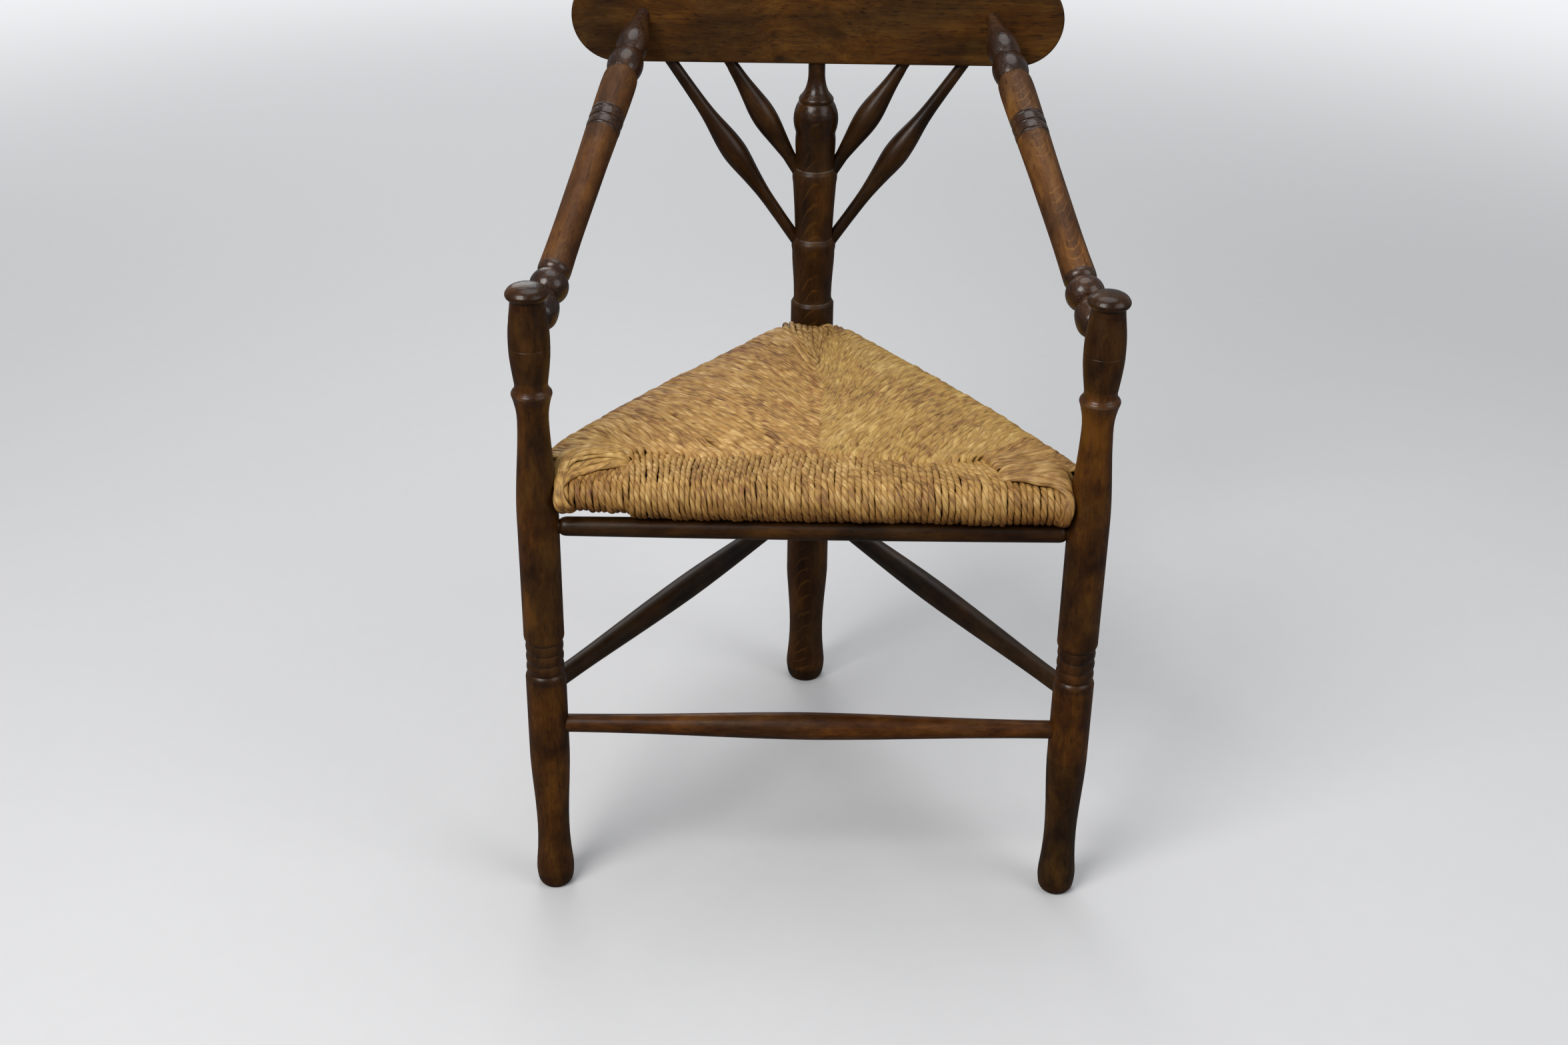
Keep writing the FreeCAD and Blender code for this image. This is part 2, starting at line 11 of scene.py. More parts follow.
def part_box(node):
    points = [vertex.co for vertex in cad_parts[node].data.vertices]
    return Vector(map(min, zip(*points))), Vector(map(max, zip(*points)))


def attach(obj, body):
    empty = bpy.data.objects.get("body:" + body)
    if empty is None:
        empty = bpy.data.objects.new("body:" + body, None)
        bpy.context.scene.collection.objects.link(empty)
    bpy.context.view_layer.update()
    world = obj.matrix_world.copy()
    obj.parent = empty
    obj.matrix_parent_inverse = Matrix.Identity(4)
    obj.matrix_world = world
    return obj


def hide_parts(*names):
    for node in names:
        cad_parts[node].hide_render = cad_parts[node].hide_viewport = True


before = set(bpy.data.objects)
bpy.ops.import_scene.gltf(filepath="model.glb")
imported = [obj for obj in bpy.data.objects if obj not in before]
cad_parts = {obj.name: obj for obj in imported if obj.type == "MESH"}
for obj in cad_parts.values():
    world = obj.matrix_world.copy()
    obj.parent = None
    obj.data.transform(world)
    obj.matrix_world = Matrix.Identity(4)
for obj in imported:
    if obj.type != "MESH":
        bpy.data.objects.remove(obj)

bl_info = {
    "name": "Rush-seated corner chair",
    "version": (1, 0, 0),
    "blender": (4, 5, 0),
    "location": "View3D > Sidebar > Corner chair",
    "description": "Finishes for the turned frame, and a seat wound from twisted rush cords",
    "category": "Object",
}

MM = 0.001

# The camera: image width and focal length in pixels, sensor and place in mm, turns in degrees
IMAGE_WIDTH = 2352.0
FOCAL_PIXELS = 3051.0
SENSOR_WIDTH = 36.0
CAMERA_PLACE = (-23.1, -1723.8, 1211.0)
CAMERA_YAW, CAMERA_PITCH, CAMERA_ROLL = 0.07, 28.20, 0.77


def node_middle(name):
    """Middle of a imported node's box."""
    low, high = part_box(name)
    return (low + high) / 2.0


def new_object(name, data):
    """A new object in the scene."""
    thing = bpy.data.objects.new(name, data)
    bpy.context.scene.collection.objects.link(thing)
    return thing


# Middles of the posts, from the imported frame, in metres
FRONT_LEFT = node_middle("front_post_left")
REAR = node_middle("rear_post")
POST_X = FRONT_LEFT.x
FRONT_Y = FRONT_LEFT.y
REAR_Y = REAR.y
# Direction of each side along X, as the sitter has it
SIDES = {-1: "right", 1: "left"}


# Shader helpers


class Nodes:
    """Short calls for building one node tree."""

    def __init__(self, tree):
        self.tree = tree

    def add(self, kind, **settings):
        node = self.tree.nodes.new(kind)
        for key, value in settings.items():
            setattr(node, key, value)
        return node

    def put(self, socket, value):
        """Link a socket to another one, or set its value."""
        if isinstance(value, bpy.types.NodeSocket):
            self.tree.links.new(value, socket)
        else:
            socket.default_value = value

    def filled(self, node, *values):
        """A node with its first inputs linked or set."""
        for socket, value in zip(node.inputs, values):
            self.put(socket, value)
        return node

    def math(self, operation, *values, clamp=False):
        node = self.add("ShaderNodeMath", operation=operation, use_clamp=clamp)
        return self.filled(node, *values).outputs[0]

    def plus(self, a, b):
        return self.math("ADD", a, b)

    def minus(self, a, b):
        return self.math("SUBTRACT", a, b)

    def times(self, a, b):
        return self.math("MULTIPLY", a, b)

    def times_plus(self, a, b, c):
        return self.math("MULTIPLY_ADD", a, b, c)

    def swayed(self, value, noise, share):
        """value moved by share times how far noise is from its middle."""
        return self.times_plus(self.minus(noise, 0.5), share, value)

    def vector(self, operation, *values):
        node = self.filled(self.add("ShaderNodeVectorMath", operation=operation), *values)
        return node.outputs["Value" if operation == "LENGTH" else "Vector"]

    def scaled(self, vector, scale):
        node = self.filled(self.add("ShaderNodeVectorMath", operation="SCALE"), vector)
        self.put(node.inputs["Scale"], scale)
        return node.outputs["Vector"]

    def split(self, vector):
        return self.filled(self.add("ShaderNodeSeparateXYZ"), vector).outputs

    def join(self, x, y, z):
        return self.filled(self.add("ShaderNodeCombineXYZ"), x, y, z).outputs[0]

    def noise(self, vector, detail=2.0, roughness=0.5):
        node = self.filled(self.add("ShaderNodeTexNoise"), vector)
        for name, value in (("Scale", 1.0), ("Detail", detail), ("Roughness", roughness)):
            node.inputs[name].default_value = value
        return node.outputs["Fac"]

    def ramp(self, value, stops):
        node = self.filled(self.add("ShaderNodeValToRGB"), value)
        elements = node.color_ramp.elements
        while len(elements) < len(stops):
            elements.new(0.5)
        for element, (place, colour) in zip(elements, stops):
            element.position = place
            element.color = (*colour, 1.0)
        return node.outputs["Color"]

    def step(self, value, low, high, to_low=0.0, to_high=1.0):
        """A smooth change from to_low to to_high as value goes from low to high."""
        node = self.add("ShaderNodeMapRange", interpolation_type="SMOOTHSTEP")
        return self.filled(node, value, low, high, to_low, to_high).outputs["Result"]

    def mix(self, share, a, b, blend="MIX"):
        node = self.add("ShaderNodeMix", data_type="RGBA", blend_type=blend)
        node.clamp_factor = True
        self.put(node.inputs["Factor"], share)
        for socket, colour in zip([s for s in node.inputs if s.type == "RGBA"], (a, b)):
            self.put(socket, colour)
        return [socket for socket in node.outputs if socket.type == "RGBA"][0]

    def tinted(self, colour, tint):
        """colour multiplied by a fixed tint."""
        return self.mix(1.0, colour, (*tint, 1.0), "MULTIPLY")

    def shaders(self, share, a, b):
        """A blend of two shaders."""
        return self.filled(self.add("ShaderNodeMixShader"), share, a, b).outputs[0]


def new_group(name, inputs, outputs):
    """An empty shader group; each input is (name, kind, default) and each output (name, kind)."""
    group = bpy.data.node_groups.new(name, "ShaderNodeTree")
    kinds = {"value": "NodeSocketFloat", "vector": "NodeSocketVector", "colour": "NodeSocketColor"}
    for label, kind, default in inputs:
        socket = group.interface.new_socket(name=label, in_out="INPUT", socket_type=kinds[kind])
        if default is not None:
            socket.default_value = (*default, 1.0) if kind == "colour" else default
    for label, kind in outputs:
        group.interface.new_socket(name=label, in_out="OUTPUT", socket_type=kinds[kind])
    nodes = Nodes(group)
    return group, nodes, nodes.add("NodeGroupInput").outputs, nodes.add("NodeGroupOutput").inputs


def placed(nodes, group, **values):
    """A group node with its inputs linked or set, and its outputs. In names, _ stands for a space."""
    node = nodes.add("ShaderNodeGroup")
    node.node_tree = group
    for name, value in values.items():
        socket = node.inputs[name.replace("_", " ")]
        if isinstance(value, tuple) and socket.type == "RGBA":
            value = (*value, 1.0)
        nodes.put(socket, value)
    return node.outputs


def new_material(name):
    """A material with a Principled shader wired to its output."""
    material = bpy.data.materials.new(name)
    material.use_nodes = True
    tree = material.node_tree
    tree.nodes.clear()
    nodes = Nodes(tree)
    shader = nodes.add("ShaderNodeBsdfPrincipled")
    out = nodes.add("ShaderNodeOutputMaterial")
    tree.links.new(shader.outputs["BSDF"], out.inputs["Surface"])
    return material, nodes, shader


def bump(nodes, shader, height, distance, strength):
    """Relief on a shader; distance is what a height of 1 stands for, in metres."""
    node = nodes.add("ShaderNodeBump")
    node.inputs["Strength"].default_value = strength
    node.inputs["Distance"].default_value = distance
    nodes.put(node.inputs["Height"], height)
    nodes.put(shader.inputs["Normal"], node.outputs["Normal"])


_shared_groups = {}


def shared(build):
    """The group that build makes, made once."""
    if build not in _shared_groups:
        _shared_groups[build] = build()
    return _shared_groups[build]


# Wood

# Tints over the stain: in its warm and cool patches and round a knot
WARM_TINT = (1.30, 1.12, 0.74)
COOL_TINT = (0.82, 0.80, 0.92)
KNOT_TINT = (0.34, 0.30, 0.30)
# Pale line at an edge: varnish rubbed off, with a painted highlight
RUBBED_EDGE_AND_HIGHLIGHT = (0.17, 0.135, 0.105, 1.0)
BAND_SOFTNESS = 1.2 * MM
WOOD_RELIEF = 0.22 * MM


def grain_group():
    """Growth rings round a pith beside the piece, fibre streaks, flecks and stain clouds, for wood
    whose grain runs along Z of Vector. Pith's Z is how fast the rings drift outward along the
    grain, and Figure how far from the pith's plane they show."""
    group, nodes, given, out = new_group(
        "wood_grain",
        [("Vector", "vector", None), ("Ring Spacing", "value", 4.2 * MM), ("Pith", "vector", None),
         ("Wander", "value", 6.0 * MM), ("Figure", "value", 1.0), ("Seed", "value", 0.0)],
        [(name, "value") for name in ("Rings", "Fibre", "Pores", "Flecks", "Cloud", "Hue")])
    x, y, z = nodes.split(given["Vector"])

    def grained(across, along, shift=0.0, **settings):
        """Noise drawn out along the grain, from its waves per metre across and along it."""
        start = nodes.plus(given["Seed"], shift)
        place = nodes.join(nodes.times(x, across), nodes.times(y, across), nodes.times_plus(z, along, start))
        return nodes.noise(place, **settings)

    px, py, pz = nodes.split(given["Pith"])
    radius = nodes.vector("LENGTH", nodes.join(nodes.minus(x, px), nodes.minus(y, py), 0.0))
    radius = nodes.times_plus(z, pz, radius)
    radius = nodes.swayed(radius, grained(9.0, 2.4), nodes.times(given["Wander"], 2.6))
    radius = nodes.swayed(radius, grained(75.0, 32.0), nodes.times(given["Wander"], 0.6))
    phase = nodes.math("FRACT", nodes.math("DIVIDE", radius, given["Ring Spacing"]))
    ring = nodes.minus(nodes.step(phase, 0.0, 0.08), nodes.step(phase, 0.08, 0.30))
    beside = nodes.math("ABSOLUTE", nodes.minus(x, px))
    facing = nodes.step(beside, nodes.times(given["Figure"], 0.4), given["Figure"], 1.0, 0.12)
    shown = nodes.step(grained(30.0, 22.0, 55.0, detail=1.0), 0.36, 0.58, 0.15, 1.0)
    nodes.put(out["Rings"], nodes.times(nodes.minus(ring, 0.15), nodes.times(facing, shown)))

    streaks = nodes.times(grained(430.0, 14.0, detail=3.0, roughness=0.6), 0.5)
    nodes.put(out["Fibre"], nodes.times_plus(grained(150.0, 7.0), 0.5, streaks))
    pores = nodes.step(grained(1100.0, 75.0, detail=1.0), 0.60, 0.70)
    nodes.put(out["Pores"], nodes.times(pores, nodes.step(phase, 0.0, 0.5, 1.0, 0.4)))
    flecks = grained(520.0, 85.0, 9.0, detail=1.0)
    pale = nodes.times(nodes.step(flecks, 0.62, 0.74), 0.4)
    nodes.put(out["Flecks"], nodes.minus(pale, nodes.step(flecks, 0.40, 0.28)))
    nodes.put(out["Cloud"], grained(46.0, 20.0, 3.0, detail=5.0, roughness=0.64))
    nodes.put(out["Hue"], grained(26.0, 11.0, 31.0, detail=3.0))
    return group


def wear_group():
    """Handling marks: small nicks, rubbed patches, dust that dulls the polish, ripples in varnish."""
    group, nodes, given, out = new_group(
        "handling_wear", [("Vector", "vector", None), ("Amount", "value", 0.5)],
        [(name, "value") for name in ("Nicks", "Rubbed", "Dust", "Ripples")])

    def speckle(scale, **settings):
        return nodes.noise(nodes.scaled(given["Vector"], scale), **settings)

    spots = nodes.step(speckle(260.0, detail=1.0), 0.76, 0.82)
    nicks = nodes.times(spots, nodes.step(speckle(23.0), 0.56, 0.66))
    nodes.put(out["Nicks"], nodes.times(nicks, given["Amount"]))
    rubbed = nodes.step(speckle(38.0, detail=4.0, roughness=0.62), 0.5, 0.72)
    nodes.put(out["Rubbed"], nodes.times(rubbed, given["Amount"]))
    nodes.put(out["Dust"], speckle(900.0, roughness=0.7))
    nodes.put(out["Ripples"], speckle(300.0, detail=3.0, roughness=0.55))
    return group


def along_grain(nodes, axis, through):
    """Object coordinates, and the same turned so that Z runs along axis from the point through."""
    coordinates = nodes.add("ShaderNodeTexCoord").outputs["Object"]
    turn = axis.normalized().rotation_difference(Vector((0, 0, 1)))
    mapping = nodes.add("ShaderNodeMapping", vector_type="TEXTURE")
    mapping.inputs["Location"].default_value = through
    mapping.inputs["Rotation"].default_value = turn.inverted().to_euler()
    nodes.put(mapping.inputs["Vector"], coordinates)
    return coordinates, mapping.outputs["Vector"]


def pushed_by_knots(nodes, coordinates, place, knots):
    """place pushed aside near each knot, and how near each knot's dark heart is."""
    hearts = []
    for spot, reach, darkness in knots:
        away = nodes.vector("LENGTH", nodes.vector("SUBTRACT", coordinates, tuple(v * MM for v in spot)))
        near = nodes.step(away, 0.0, reach * MM, 1.0, 0.0)
        push = nodes.scaled((0.35, 1.0, 0.0), nodes.times(near, reach * 0.2 * MM))
        place = nodes.vector("ADD", place, push)
        hearts.append((nodes.step(away, 0.0, reach * 0.5 * MM, 1.0, 0.0), darkness))
    return place, hearts


def banded(nodes, colour, along, bands):
    """colour with each band's tone on it, and the bands' gloss."""
    gloss = 0.0
    for start, end, tone, share, shine in bands:
        first, last = start * MM, end * MM
        inside = nodes.times(nodes.step(along, first - BAND_SOFTNESS, first + BAND_SOFTNESS),
                             nodes.step(along, last - BAND_SOFTNESS, last + BAND_SOFTNESS, 1.0, 0.0))
        colour = nodes.mix(nodes.times(inside, share), colour, nodes.tinted(colour, tone))
        gloss = nodes.times_plus(inside, shine, gloss)
    return colour, gloss


def stain_times(tone, shares, lift=(0.0, 0.0, 0.0)):
    """A stain as a socket's colour, multiplied by shares and raised by lift."""
    return (*[t * s + up for t, s, up in zip(tone, shares, lift)], 1.0)


def wood_material(name, axis, through, tones, seed, pith, ring, rings=0.10, figure=1.0, fibre=0.40,
                  cloud=1.5, pores=0.3, flecks=0.16, polish=0.46, wear=0.5, wander=4.0,
                  bands=(), lines=(), knots=()):
    """Polished hardwood. axis is the direction of the grain and through a point on the piece's
    axis; tones are (dark, middle, light); pith and figure are in metres, ring and wander in mm;
    rings, fibre, cloud, pores and flecks are how strongly each shows. bands are (from, to, tone,
    share, gloss) and lines are pale edges of rubbed varnish with a painted highlight (place, width,
    share), in mm along the axis from through; knots are (place, reach, darkness) in mm."""
    material, nodes, shader = new_material(name)
    dark, middle, light = tones
    coordinates, place = along_grain(nodes, axis, through)
    grained, hearts = pushed_by_knots(nodes, coordinates, place, knots)
    grain = placed(nodes, shared(grain_group), Vector=grained, Ring_Spacing=ring * MM, Pith=pith,
                   Wander=wander * MM, Figure=figure, Seed=seed)
    worn = placed(nodes, shared(wear_group), Vector=place, Amount=wear)

    value = nodes.times_plus(grain["Rings"], rings, 0.5)
    value = nodes.swayed(value, grain["Fibre"], fibre)
    value = nodes.swayed(value, grain["Cloud"], cloud)
    value = nodes.times_plus(grain["Flecks"], flecks, value)
    colour = nodes.ramp(value, [(0.22, dark), (0.5, middle), (0.80, light)])
    colour = nodes.mix(nodes.step(grain["Hue"], 0.38, 0.62),
                       nodes.tinted(colour, COOL_TINT), nodes.tinted(colour, WARM_TINT))
    for near, darkness in hearts:
        colour = nodes.mix(nodes.times(near, darkness), colour, nodes.tinted(colour, KNOT_TINT))
    along = nodes.split(place)[2]
    colour, gloss = banded(nodes, colour, along, bands)
    holes = nodes.times(grain["Pores"], pores)
    colour = nodes.mix(holes, colour, stain_times(dark, (0.3, 0.3, 0.3)))
    colour = nodes.mix(nodes.times(worn["Rubbed"], 0.25), colour, stain_times(light, (1.15, 1.15, 1.2)))
    colour = nodes.mix(worn["Nicks"], colour, stain_times(light, (1.1, 1.1, 1.1), (0.05, 0.04, 0.03)))
    # Pale lines at edges: rubbed-off varnish with a painted highlight
    for spot, width, share in lines:
        near = nodes.math("ABSOLUTE", nodes.minus(along, spot * MM))
        line = nodes.step(near, 0.0, width * MM, share, 0.0)
        line = nodes.times(line, nodes.step(grain["Cloud"], 0.42, 0.6, 0.15, 1.0))
        colour = nodes.mix(line, colour, RUBBED_EDGE_AND_HIGHLIGHT)
    nodes.put(shader.inputs["Base Color"], colour)

    rough = nodes.times_plus(worn["Dust"], 0.14, polish - 0.17)
    rough = nodes.minus(nodes.times_plus(grain["Cloud"], 0.2, rough), gloss)
    nodes.put(shader.inputs["Roughness"], nodes.math("MULTIPLY_ADD", holes, 0.3, rough, clamp=True))
    shader.inputs["Specular IOR Level"].default_value = 0.22
    shader.inputs["Coat Roughness"].default_value = 0.16
    coat = nodes.times_plus(gloss, 1.5, nodes.step(grain["Cloud"], 0.3, 0.7, 0.0, 0.08))
    nodes.put(shader.inputs["Coat Weight"], coat)
    relief = nodes.minus(nodes.times(grain["Fibre"], 0.35), holes)
    relief = nodes.minus(relief, nodes.times(worn["Nicks"], 1.2))
    relief = nodes.times_plus(worn["Rubbed"], 0.4, relief)
    relief = nodes.times_plus(worn["Ripples"], nodes.times(gloss, 24.0), relief)
    bump(nodes, shader, relief, WOOD_RELIEF, 0.6)
    return material


def finish_node(name, *settings, **more):
    """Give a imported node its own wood, in every material slot."""
    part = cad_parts[name]
    if not part.material_slots:
        raise RuntimeError(f"{name} has no material slot")
    material = wood_material(f"{name}_wood", *settings, **more)
    for slot in part.material_slots:
        slot.material = material


# Rush, in mm, in a frame whose Y starts at the line between the front posts' axes

UPWARD = np.array([0.0, 0.0, 1.0])
FORWARD = np.array([0.0, -1.0, 0.0])
HALF_WIDTH = POST_X / MM
SEAT_DEPTH = (REAR_Y - FRONT_Y) / MM
SIDE_RUN = math.hypot(HALF_WIDTH, SEAT_DEPTH)
FRONT_RAIL_Z = node_middle("seat_rail_front").z / MM
SIDE_RAIL_FRONT_Z = 419.0
SIDE_RAIL_REAR_Z = 411.0

# A cord's plies, and its radius at the corners of each as a share, the notch beside the ply first
PLIES = 3
PLY_PROFILE = (0.86, 0.98, 1.02, 0.98)
CORNERS = PLIES * len(PLY_PROFILE)
# Unevenness along a cord as (amount, mm per radian): two waves of its thickness, one of its turn
# in radians, two of its place across the seat and one of its place off it, in mm
CORD_WAVES = ((0.07, 9.0), (0.05, 3.9), (0.8, 15.0), (0.36, 8.5), (0.18, 3.7), (0.30, 6.1))
# Distance between a cord's rings in mm, and how many times that where the cord is out of sight
CORD_STEP = 2.0
SIDE_CORD_STEP = 2.6
HIDDEN_STEP = 1.9
# Points of a cord's line over the seat, round its rail and below the seat
UPPER_POINTS, ARC_POINTS, LOWER_POINTS = 24, 17, 20
# Where a cord's end dives into its seam: how far on and how far down, in mm, the deepest first
DIVE = ((2.6, 9.5), (2.2, 4.6), (1.2, 1.3))
LOWER_PULL = 0.8


def unit(vectors):
    """The same directions with length 1."""
    return vectors / np.linalg.norm(vectors, axis=-1, keepdims=True)


def read(table, at):
    """The value at a place, between the (place, value) pairs of a table."""
    return float(np.interp(at, *zip(*table)))


def hermite(a, b, leave, arrive, count):
    """Points of a smooth line from a to b that leaves and arrives with the given slopes."""
    t = np.linspace(0.0, 1.0, count)[:, None]
    return ((2 * t**3 - 3 * t**2 + 1) * a + (t**3 - 2 * t**2 + t) * leave
            + (-2 * t**3 + 3 * t**2) * b + (t**3 - t**2) * arrive)


def through_points(points, count):
    """A smooth line through a few given points (Catmull-Rom)."""
    points = [np.array(p, float) for p in points]
    ends = [2 * points[0] - points[1]] + points + [2 * points[-1] - points[-2]]
    line = []
    for before, a, b, after in zip(ends, ends[1:], ends[2:], ends[3:]):
        run = hermite(a, b, (b - before) / 2, (after - a) / 2, count)
        line.append(run[1:] if line else run)
    return np.vstack(line)


def lengths(points):
    """Distance along a line at each of its points."""
    return np.concatenate([[0.0], np.cumsum(np.linalg.norm(np.diff(points, axis=0), axis=1))])


def stations(total, fine, step):
    """Places along a cord: close together for its first, visible stretch, wider below the seat."""
    fine = min(fine, total)
    at = np.linspace(0.0, fine, max(4, int(round(fine / step))) + 1)
    if total - fine > 2 * step:
        count = max(3, int(round((total - fine) / step / HIDDEN_STEP)))
        at = np.concatenate([at, np.linspace(fine, total, count)[1:]])
    return at


class CordMaker:
    """Collects twisted cords into one mesh."""

    def __init__(self, seed, step):
        self.random = random.Random(seed)
        self.step = step
        self.places, self.faces, self.caps = [], [], []
        self.along, self.around, self.cap_along = [], [], []
        self.cord, self.gap = [], []
        self.vertices = 0

    def add(self, line, outward, wide, high, lay, flare=1.0, flare_run=45.0, fine=1000.0):
        """One cord along line; outward gives the seat's outer side at each of its points and lay
        is the length of one turn. flare is its width share where it leaves its seam, settling to
        1 over flare_run, and past fine it is out of sight."""
        rnd = self.random
        run = lengths(line)
        at = stations(run[-1], fine, self.step)
        centre, out = (np.column_stack([np.interp(at, run, axis) for axis in points.T])
                       for points in (line, outward))
        ahead = unit(np.gradient(centre, at, axis=0))
        out = unit(out - (out * ahead).sum(1)[:, None] * ahead)
        side = np.cross(ahead, out)

        size = 1.0 + rnd.uniform(-0.10, 0.10)
        phase = rnd.uniform(0, 2 * math.pi)
        thick, thin, drift, sway, shake, lift = (
            amount * np.sin(at / length + rnd.uniform(0, 2 * math.pi)) for amount, length in CORD_WAVES)
        lay *= 1.0 + rnd.uniform(-0.2, 0.2)
        centre = centre + side * (sway + shake)[:, None] + out * lift[:, None]

        plump = []
        for _ in range(PLIES):
            full = rnd.uniform(0.95, 1.05)
            start = rnd.uniform(0, 2 * math.pi)
            plump += [full + 0.06 * np.sin(at / rnd.uniform(3.5, 6.5) + start)] * len(PLY_PROFILE)
        share = np.clip(at / flare_run, 0.0, 1.0)
        width = flare + (1.0 - flare) * share * share * (3.0 - 2.0 * share)
        reach = np.tile(PLY_PROFILE, PLIES) * np.column_stack(plump)
        reach = reach * (size * (1.0 + thick + thin) * width)[:, None]
        corner = np.arange(CORNERS)
        turn = 2 * math.pi * corner / CORNERS + (2 * math.pi * at / lay + phase + drift)[:, None]
        ring = (centre[:, None, :]
                + side[:, None, :] * (np.cos(turn) * reach * wide / 2)[:, :, None]
                + out[:, None, :] * (np.sin(turn) * reach * high / 2)[:, :, None])

        base, count = self.vertices, len(at) * CORNERS
        self.vertices += count
        self.places.append(ring.reshape(-1, 3))
        # How far each point faces into the seat: where painted shade between cords goes
        self.gap.append(np.clip(0.5 - 0.5 * np.sin(turn), 0, 1).ravel())
        self.cord.append(np.full(count, len(self.cord) + rnd.random() * 0.5))
        first = base + np.arange(0, count - CORNERS, CORNERS)[:, None]
        after = (corner + 1) % CORNERS
        square = [first + corner, first + after, first + CORNERS + after, first + CORNERS + corner]
        self.faces.append(np.stack(square, axis=2).reshape(-1, 4))
        near, far = (np.repeat(ends, CORNERS) for ends in (at[:-1], at[1:]))
        left, right = (np.tile((corner + more) / CORNERS, len(at) - 1) for more in (0, 1))
        self.along.append(np.stack([near, near, far, far], axis=1).ravel())
        self.around.append(np.stack([left, right, right, left], axis=1).ravel())
        self.caps += [base + corner[::-1], base + count - CORNERS + corner]
        self.cap_along += [np.full(CORNERS, at[0]), np.full(CORNERS, at[-1])]

    def mesh(self, name):
        """One object from all cords so far, each closed at both ends."""
        places = np.vstack(self.places) * MM
        places[:, 1] += FRONT_Y
        walls, caps = np.vstack(self.faces), np.vstack(self.caps)
        loops = np.concatenate([walls.ravel(), caps.ravel()])
        starts = np.concatenate([np.arange(0, walls.size, 4), walls.size + np.arange(0, caps.size, CORNERS)])
        mesh = bpy.data.meshes.new(name)
        mesh.vertices.add(len(places))
        mesh.vertices.foreach_set("co", places.ravel())
        mesh.loops.add(len(loops))
        mesh.loops.foreach_set("vertex_index", loops)
        mesh.polygons.add(len(starts))
        mesh.polygons.foreach_set("loop_start", starts)
        mesh.polygons.foreach_set("use_smooth", np.ones(len(starts), bool))
        lay = mesh.uv_layers.new(name="cord_lay")
        along = np.concatenate(self.along + self.cap_along) * MM
        around = np.concatenate(self.around + [np.linspace(0.0, 1.0, CORNERS)] * len(caps))
        lay.data.foreach_set("uv", np.column_stack([along, around]).ravel())
        for attribute, values in (("cord_number", self.cord), ("cord_gap", self.gap)):
            layer = mesh.attributes.new(attribute, "FLOAT", "POINT")
            layer.data.foreach_set("value", np.concatenate(values))
        mesh.update(calc_edges=True)
        mesh.validate()
        return new_object(name, mesh)


# Tints over a leaf's colour: painted shade in the crease between two plies; painted shade and warm bounce
# light, with some varnish, on the underside of the front roll; and painted shade deep between two cords. Then
# the heights, in metres, where that underside tint ends
CREASE_SHADE_TINT = (0.30, 0.21, 0.13)
VARNISH_AND_SHADE_TINT = (0.64, 0.42, 0.20)
GAP_SHADE_TINT = (0.10, 0.055, 0.028)
VARNISH_AND_SHADE_FULL, VARNISH_AND_SHADE_NONE = 0.388, 0.420
RUSH_RELIEF = 0.6 * MM


def leaf_group():
    """Colour and relief of twisted rush leaves from where a point lies along and round its cord."""
    group, nodes, given, out = new_group(
        "rush_leaf",
        [(name, "value", 0.0) for name in ("Along", "Around", "Cord", "Gap")] + [("Place", "vector", None)]
        + [(name, "colour", None) for name in ("Shade", "Straw", "Pale", "Russet")]
        + [("Crease", "value", 0.5), ("Contrast", "value", 1.0)],
        [("Color", "colour"), ("Roughness", "value"), ("Height", "value")])
    around, cord = given["Around"], given["Cord"]

    def grained(along, second, third=0.0, **settings):
        """Noise with so many waves per metre along the cord."""
        return nodes.noise(nodes.join(nodes.times(given["Along"], along), second, third), **settings)

    plies = nodes.times(around, float(PLIES))
    across = nodes.math("FRACT", plies)
    leaf = nodes.times_plus(nodes.math("FLOOR", plies), 17.3, nodes.times(cord, 3.7))
    turn = nodes.step(grained(75.0, leaf, detail=1.0), 0.36, 0.64)
    tone = grained(16.0, nodes.times(cord, 5.1))
    patch = grained(85.0, nodes.plus(leaf, 40.0), nodes.times(across, 1.3))
    thread = grained(105.0, nodes.times(around, 13.0), cord, roughness=0.55)
    fine = grained(70.0, nodes.times(around, 75.0), cord, roughness=0.6)
    field = nodes.noise(nodes.scaled(given["Place"], 17.0))

    value = nodes.swayed(0.0, turn, 0.36)
    value = nodes.swayed(value, tone, 0.65)
    value = nodes.swayed(value, thread, 1.10)
    value = nodes.times_plus(value, given["Contrast"], 0.5)
    value = nodes.swayed(value, fine, 0.62)
    value = nodes.swayed(value, field, 0.55)
    colour = nodes.mix(nodes.step(value, 0.10, 0.50), given["Shade"], given["Straw"])
    colour = nodes.mix(nodes.step(value, 0.50, 0.92), colour, given["Pale"])
    red = nodes.times(nodes.step(patch, 0.55, 0.68), nodes.step(field, 0.58, 0.36, 0.25, 0.8))
    colour = nodes.mix(red, colour, given["Russet"])
    edge = nodes.math("MINIMUM", across, nodes.minus(1.0, across))
    # Mask of the crease between plies: painted shade in the colour, and a dip in the relief
    crease = nodes.step(edge, 0.0, 0.13, 1.0, 0.0)
    level = nodes.split(given["Place"])[2]
    # Painted shade in ply creases and between cords, and painted shade with warm bounce light and some
    # varnish low on the front roll
    for share, tint in ((nodes.times(crease, given["Crease"]), CREASE_SHADE_TINT),
                        (nodes.step(level, VARNISH_AND_SHADE_FULL, VARNISH_AND_SHADE_NONE, 1.0, 0.0), VARNISH_AND_SHADE_TINT),
                        (nodes.step(given["Gap"], 0.30, 0.66), GAP_SHADE_TINT)):
        colour = nodes.mix(share, colour, nodes.tinted(colour, tint))
    nodes.put(out["Color"], colour)
    nodes.put(out["Roughness"], nodes.step(value, 0.2, 0.9, 0.56, 0.38))
    height = nodes.times_plus(thread, 0.8, nodes.times(fine, 0.3))
    nodes.put(out["Height"], nodes.minus(height, nodes.times(crease, 0.6)))
    return group
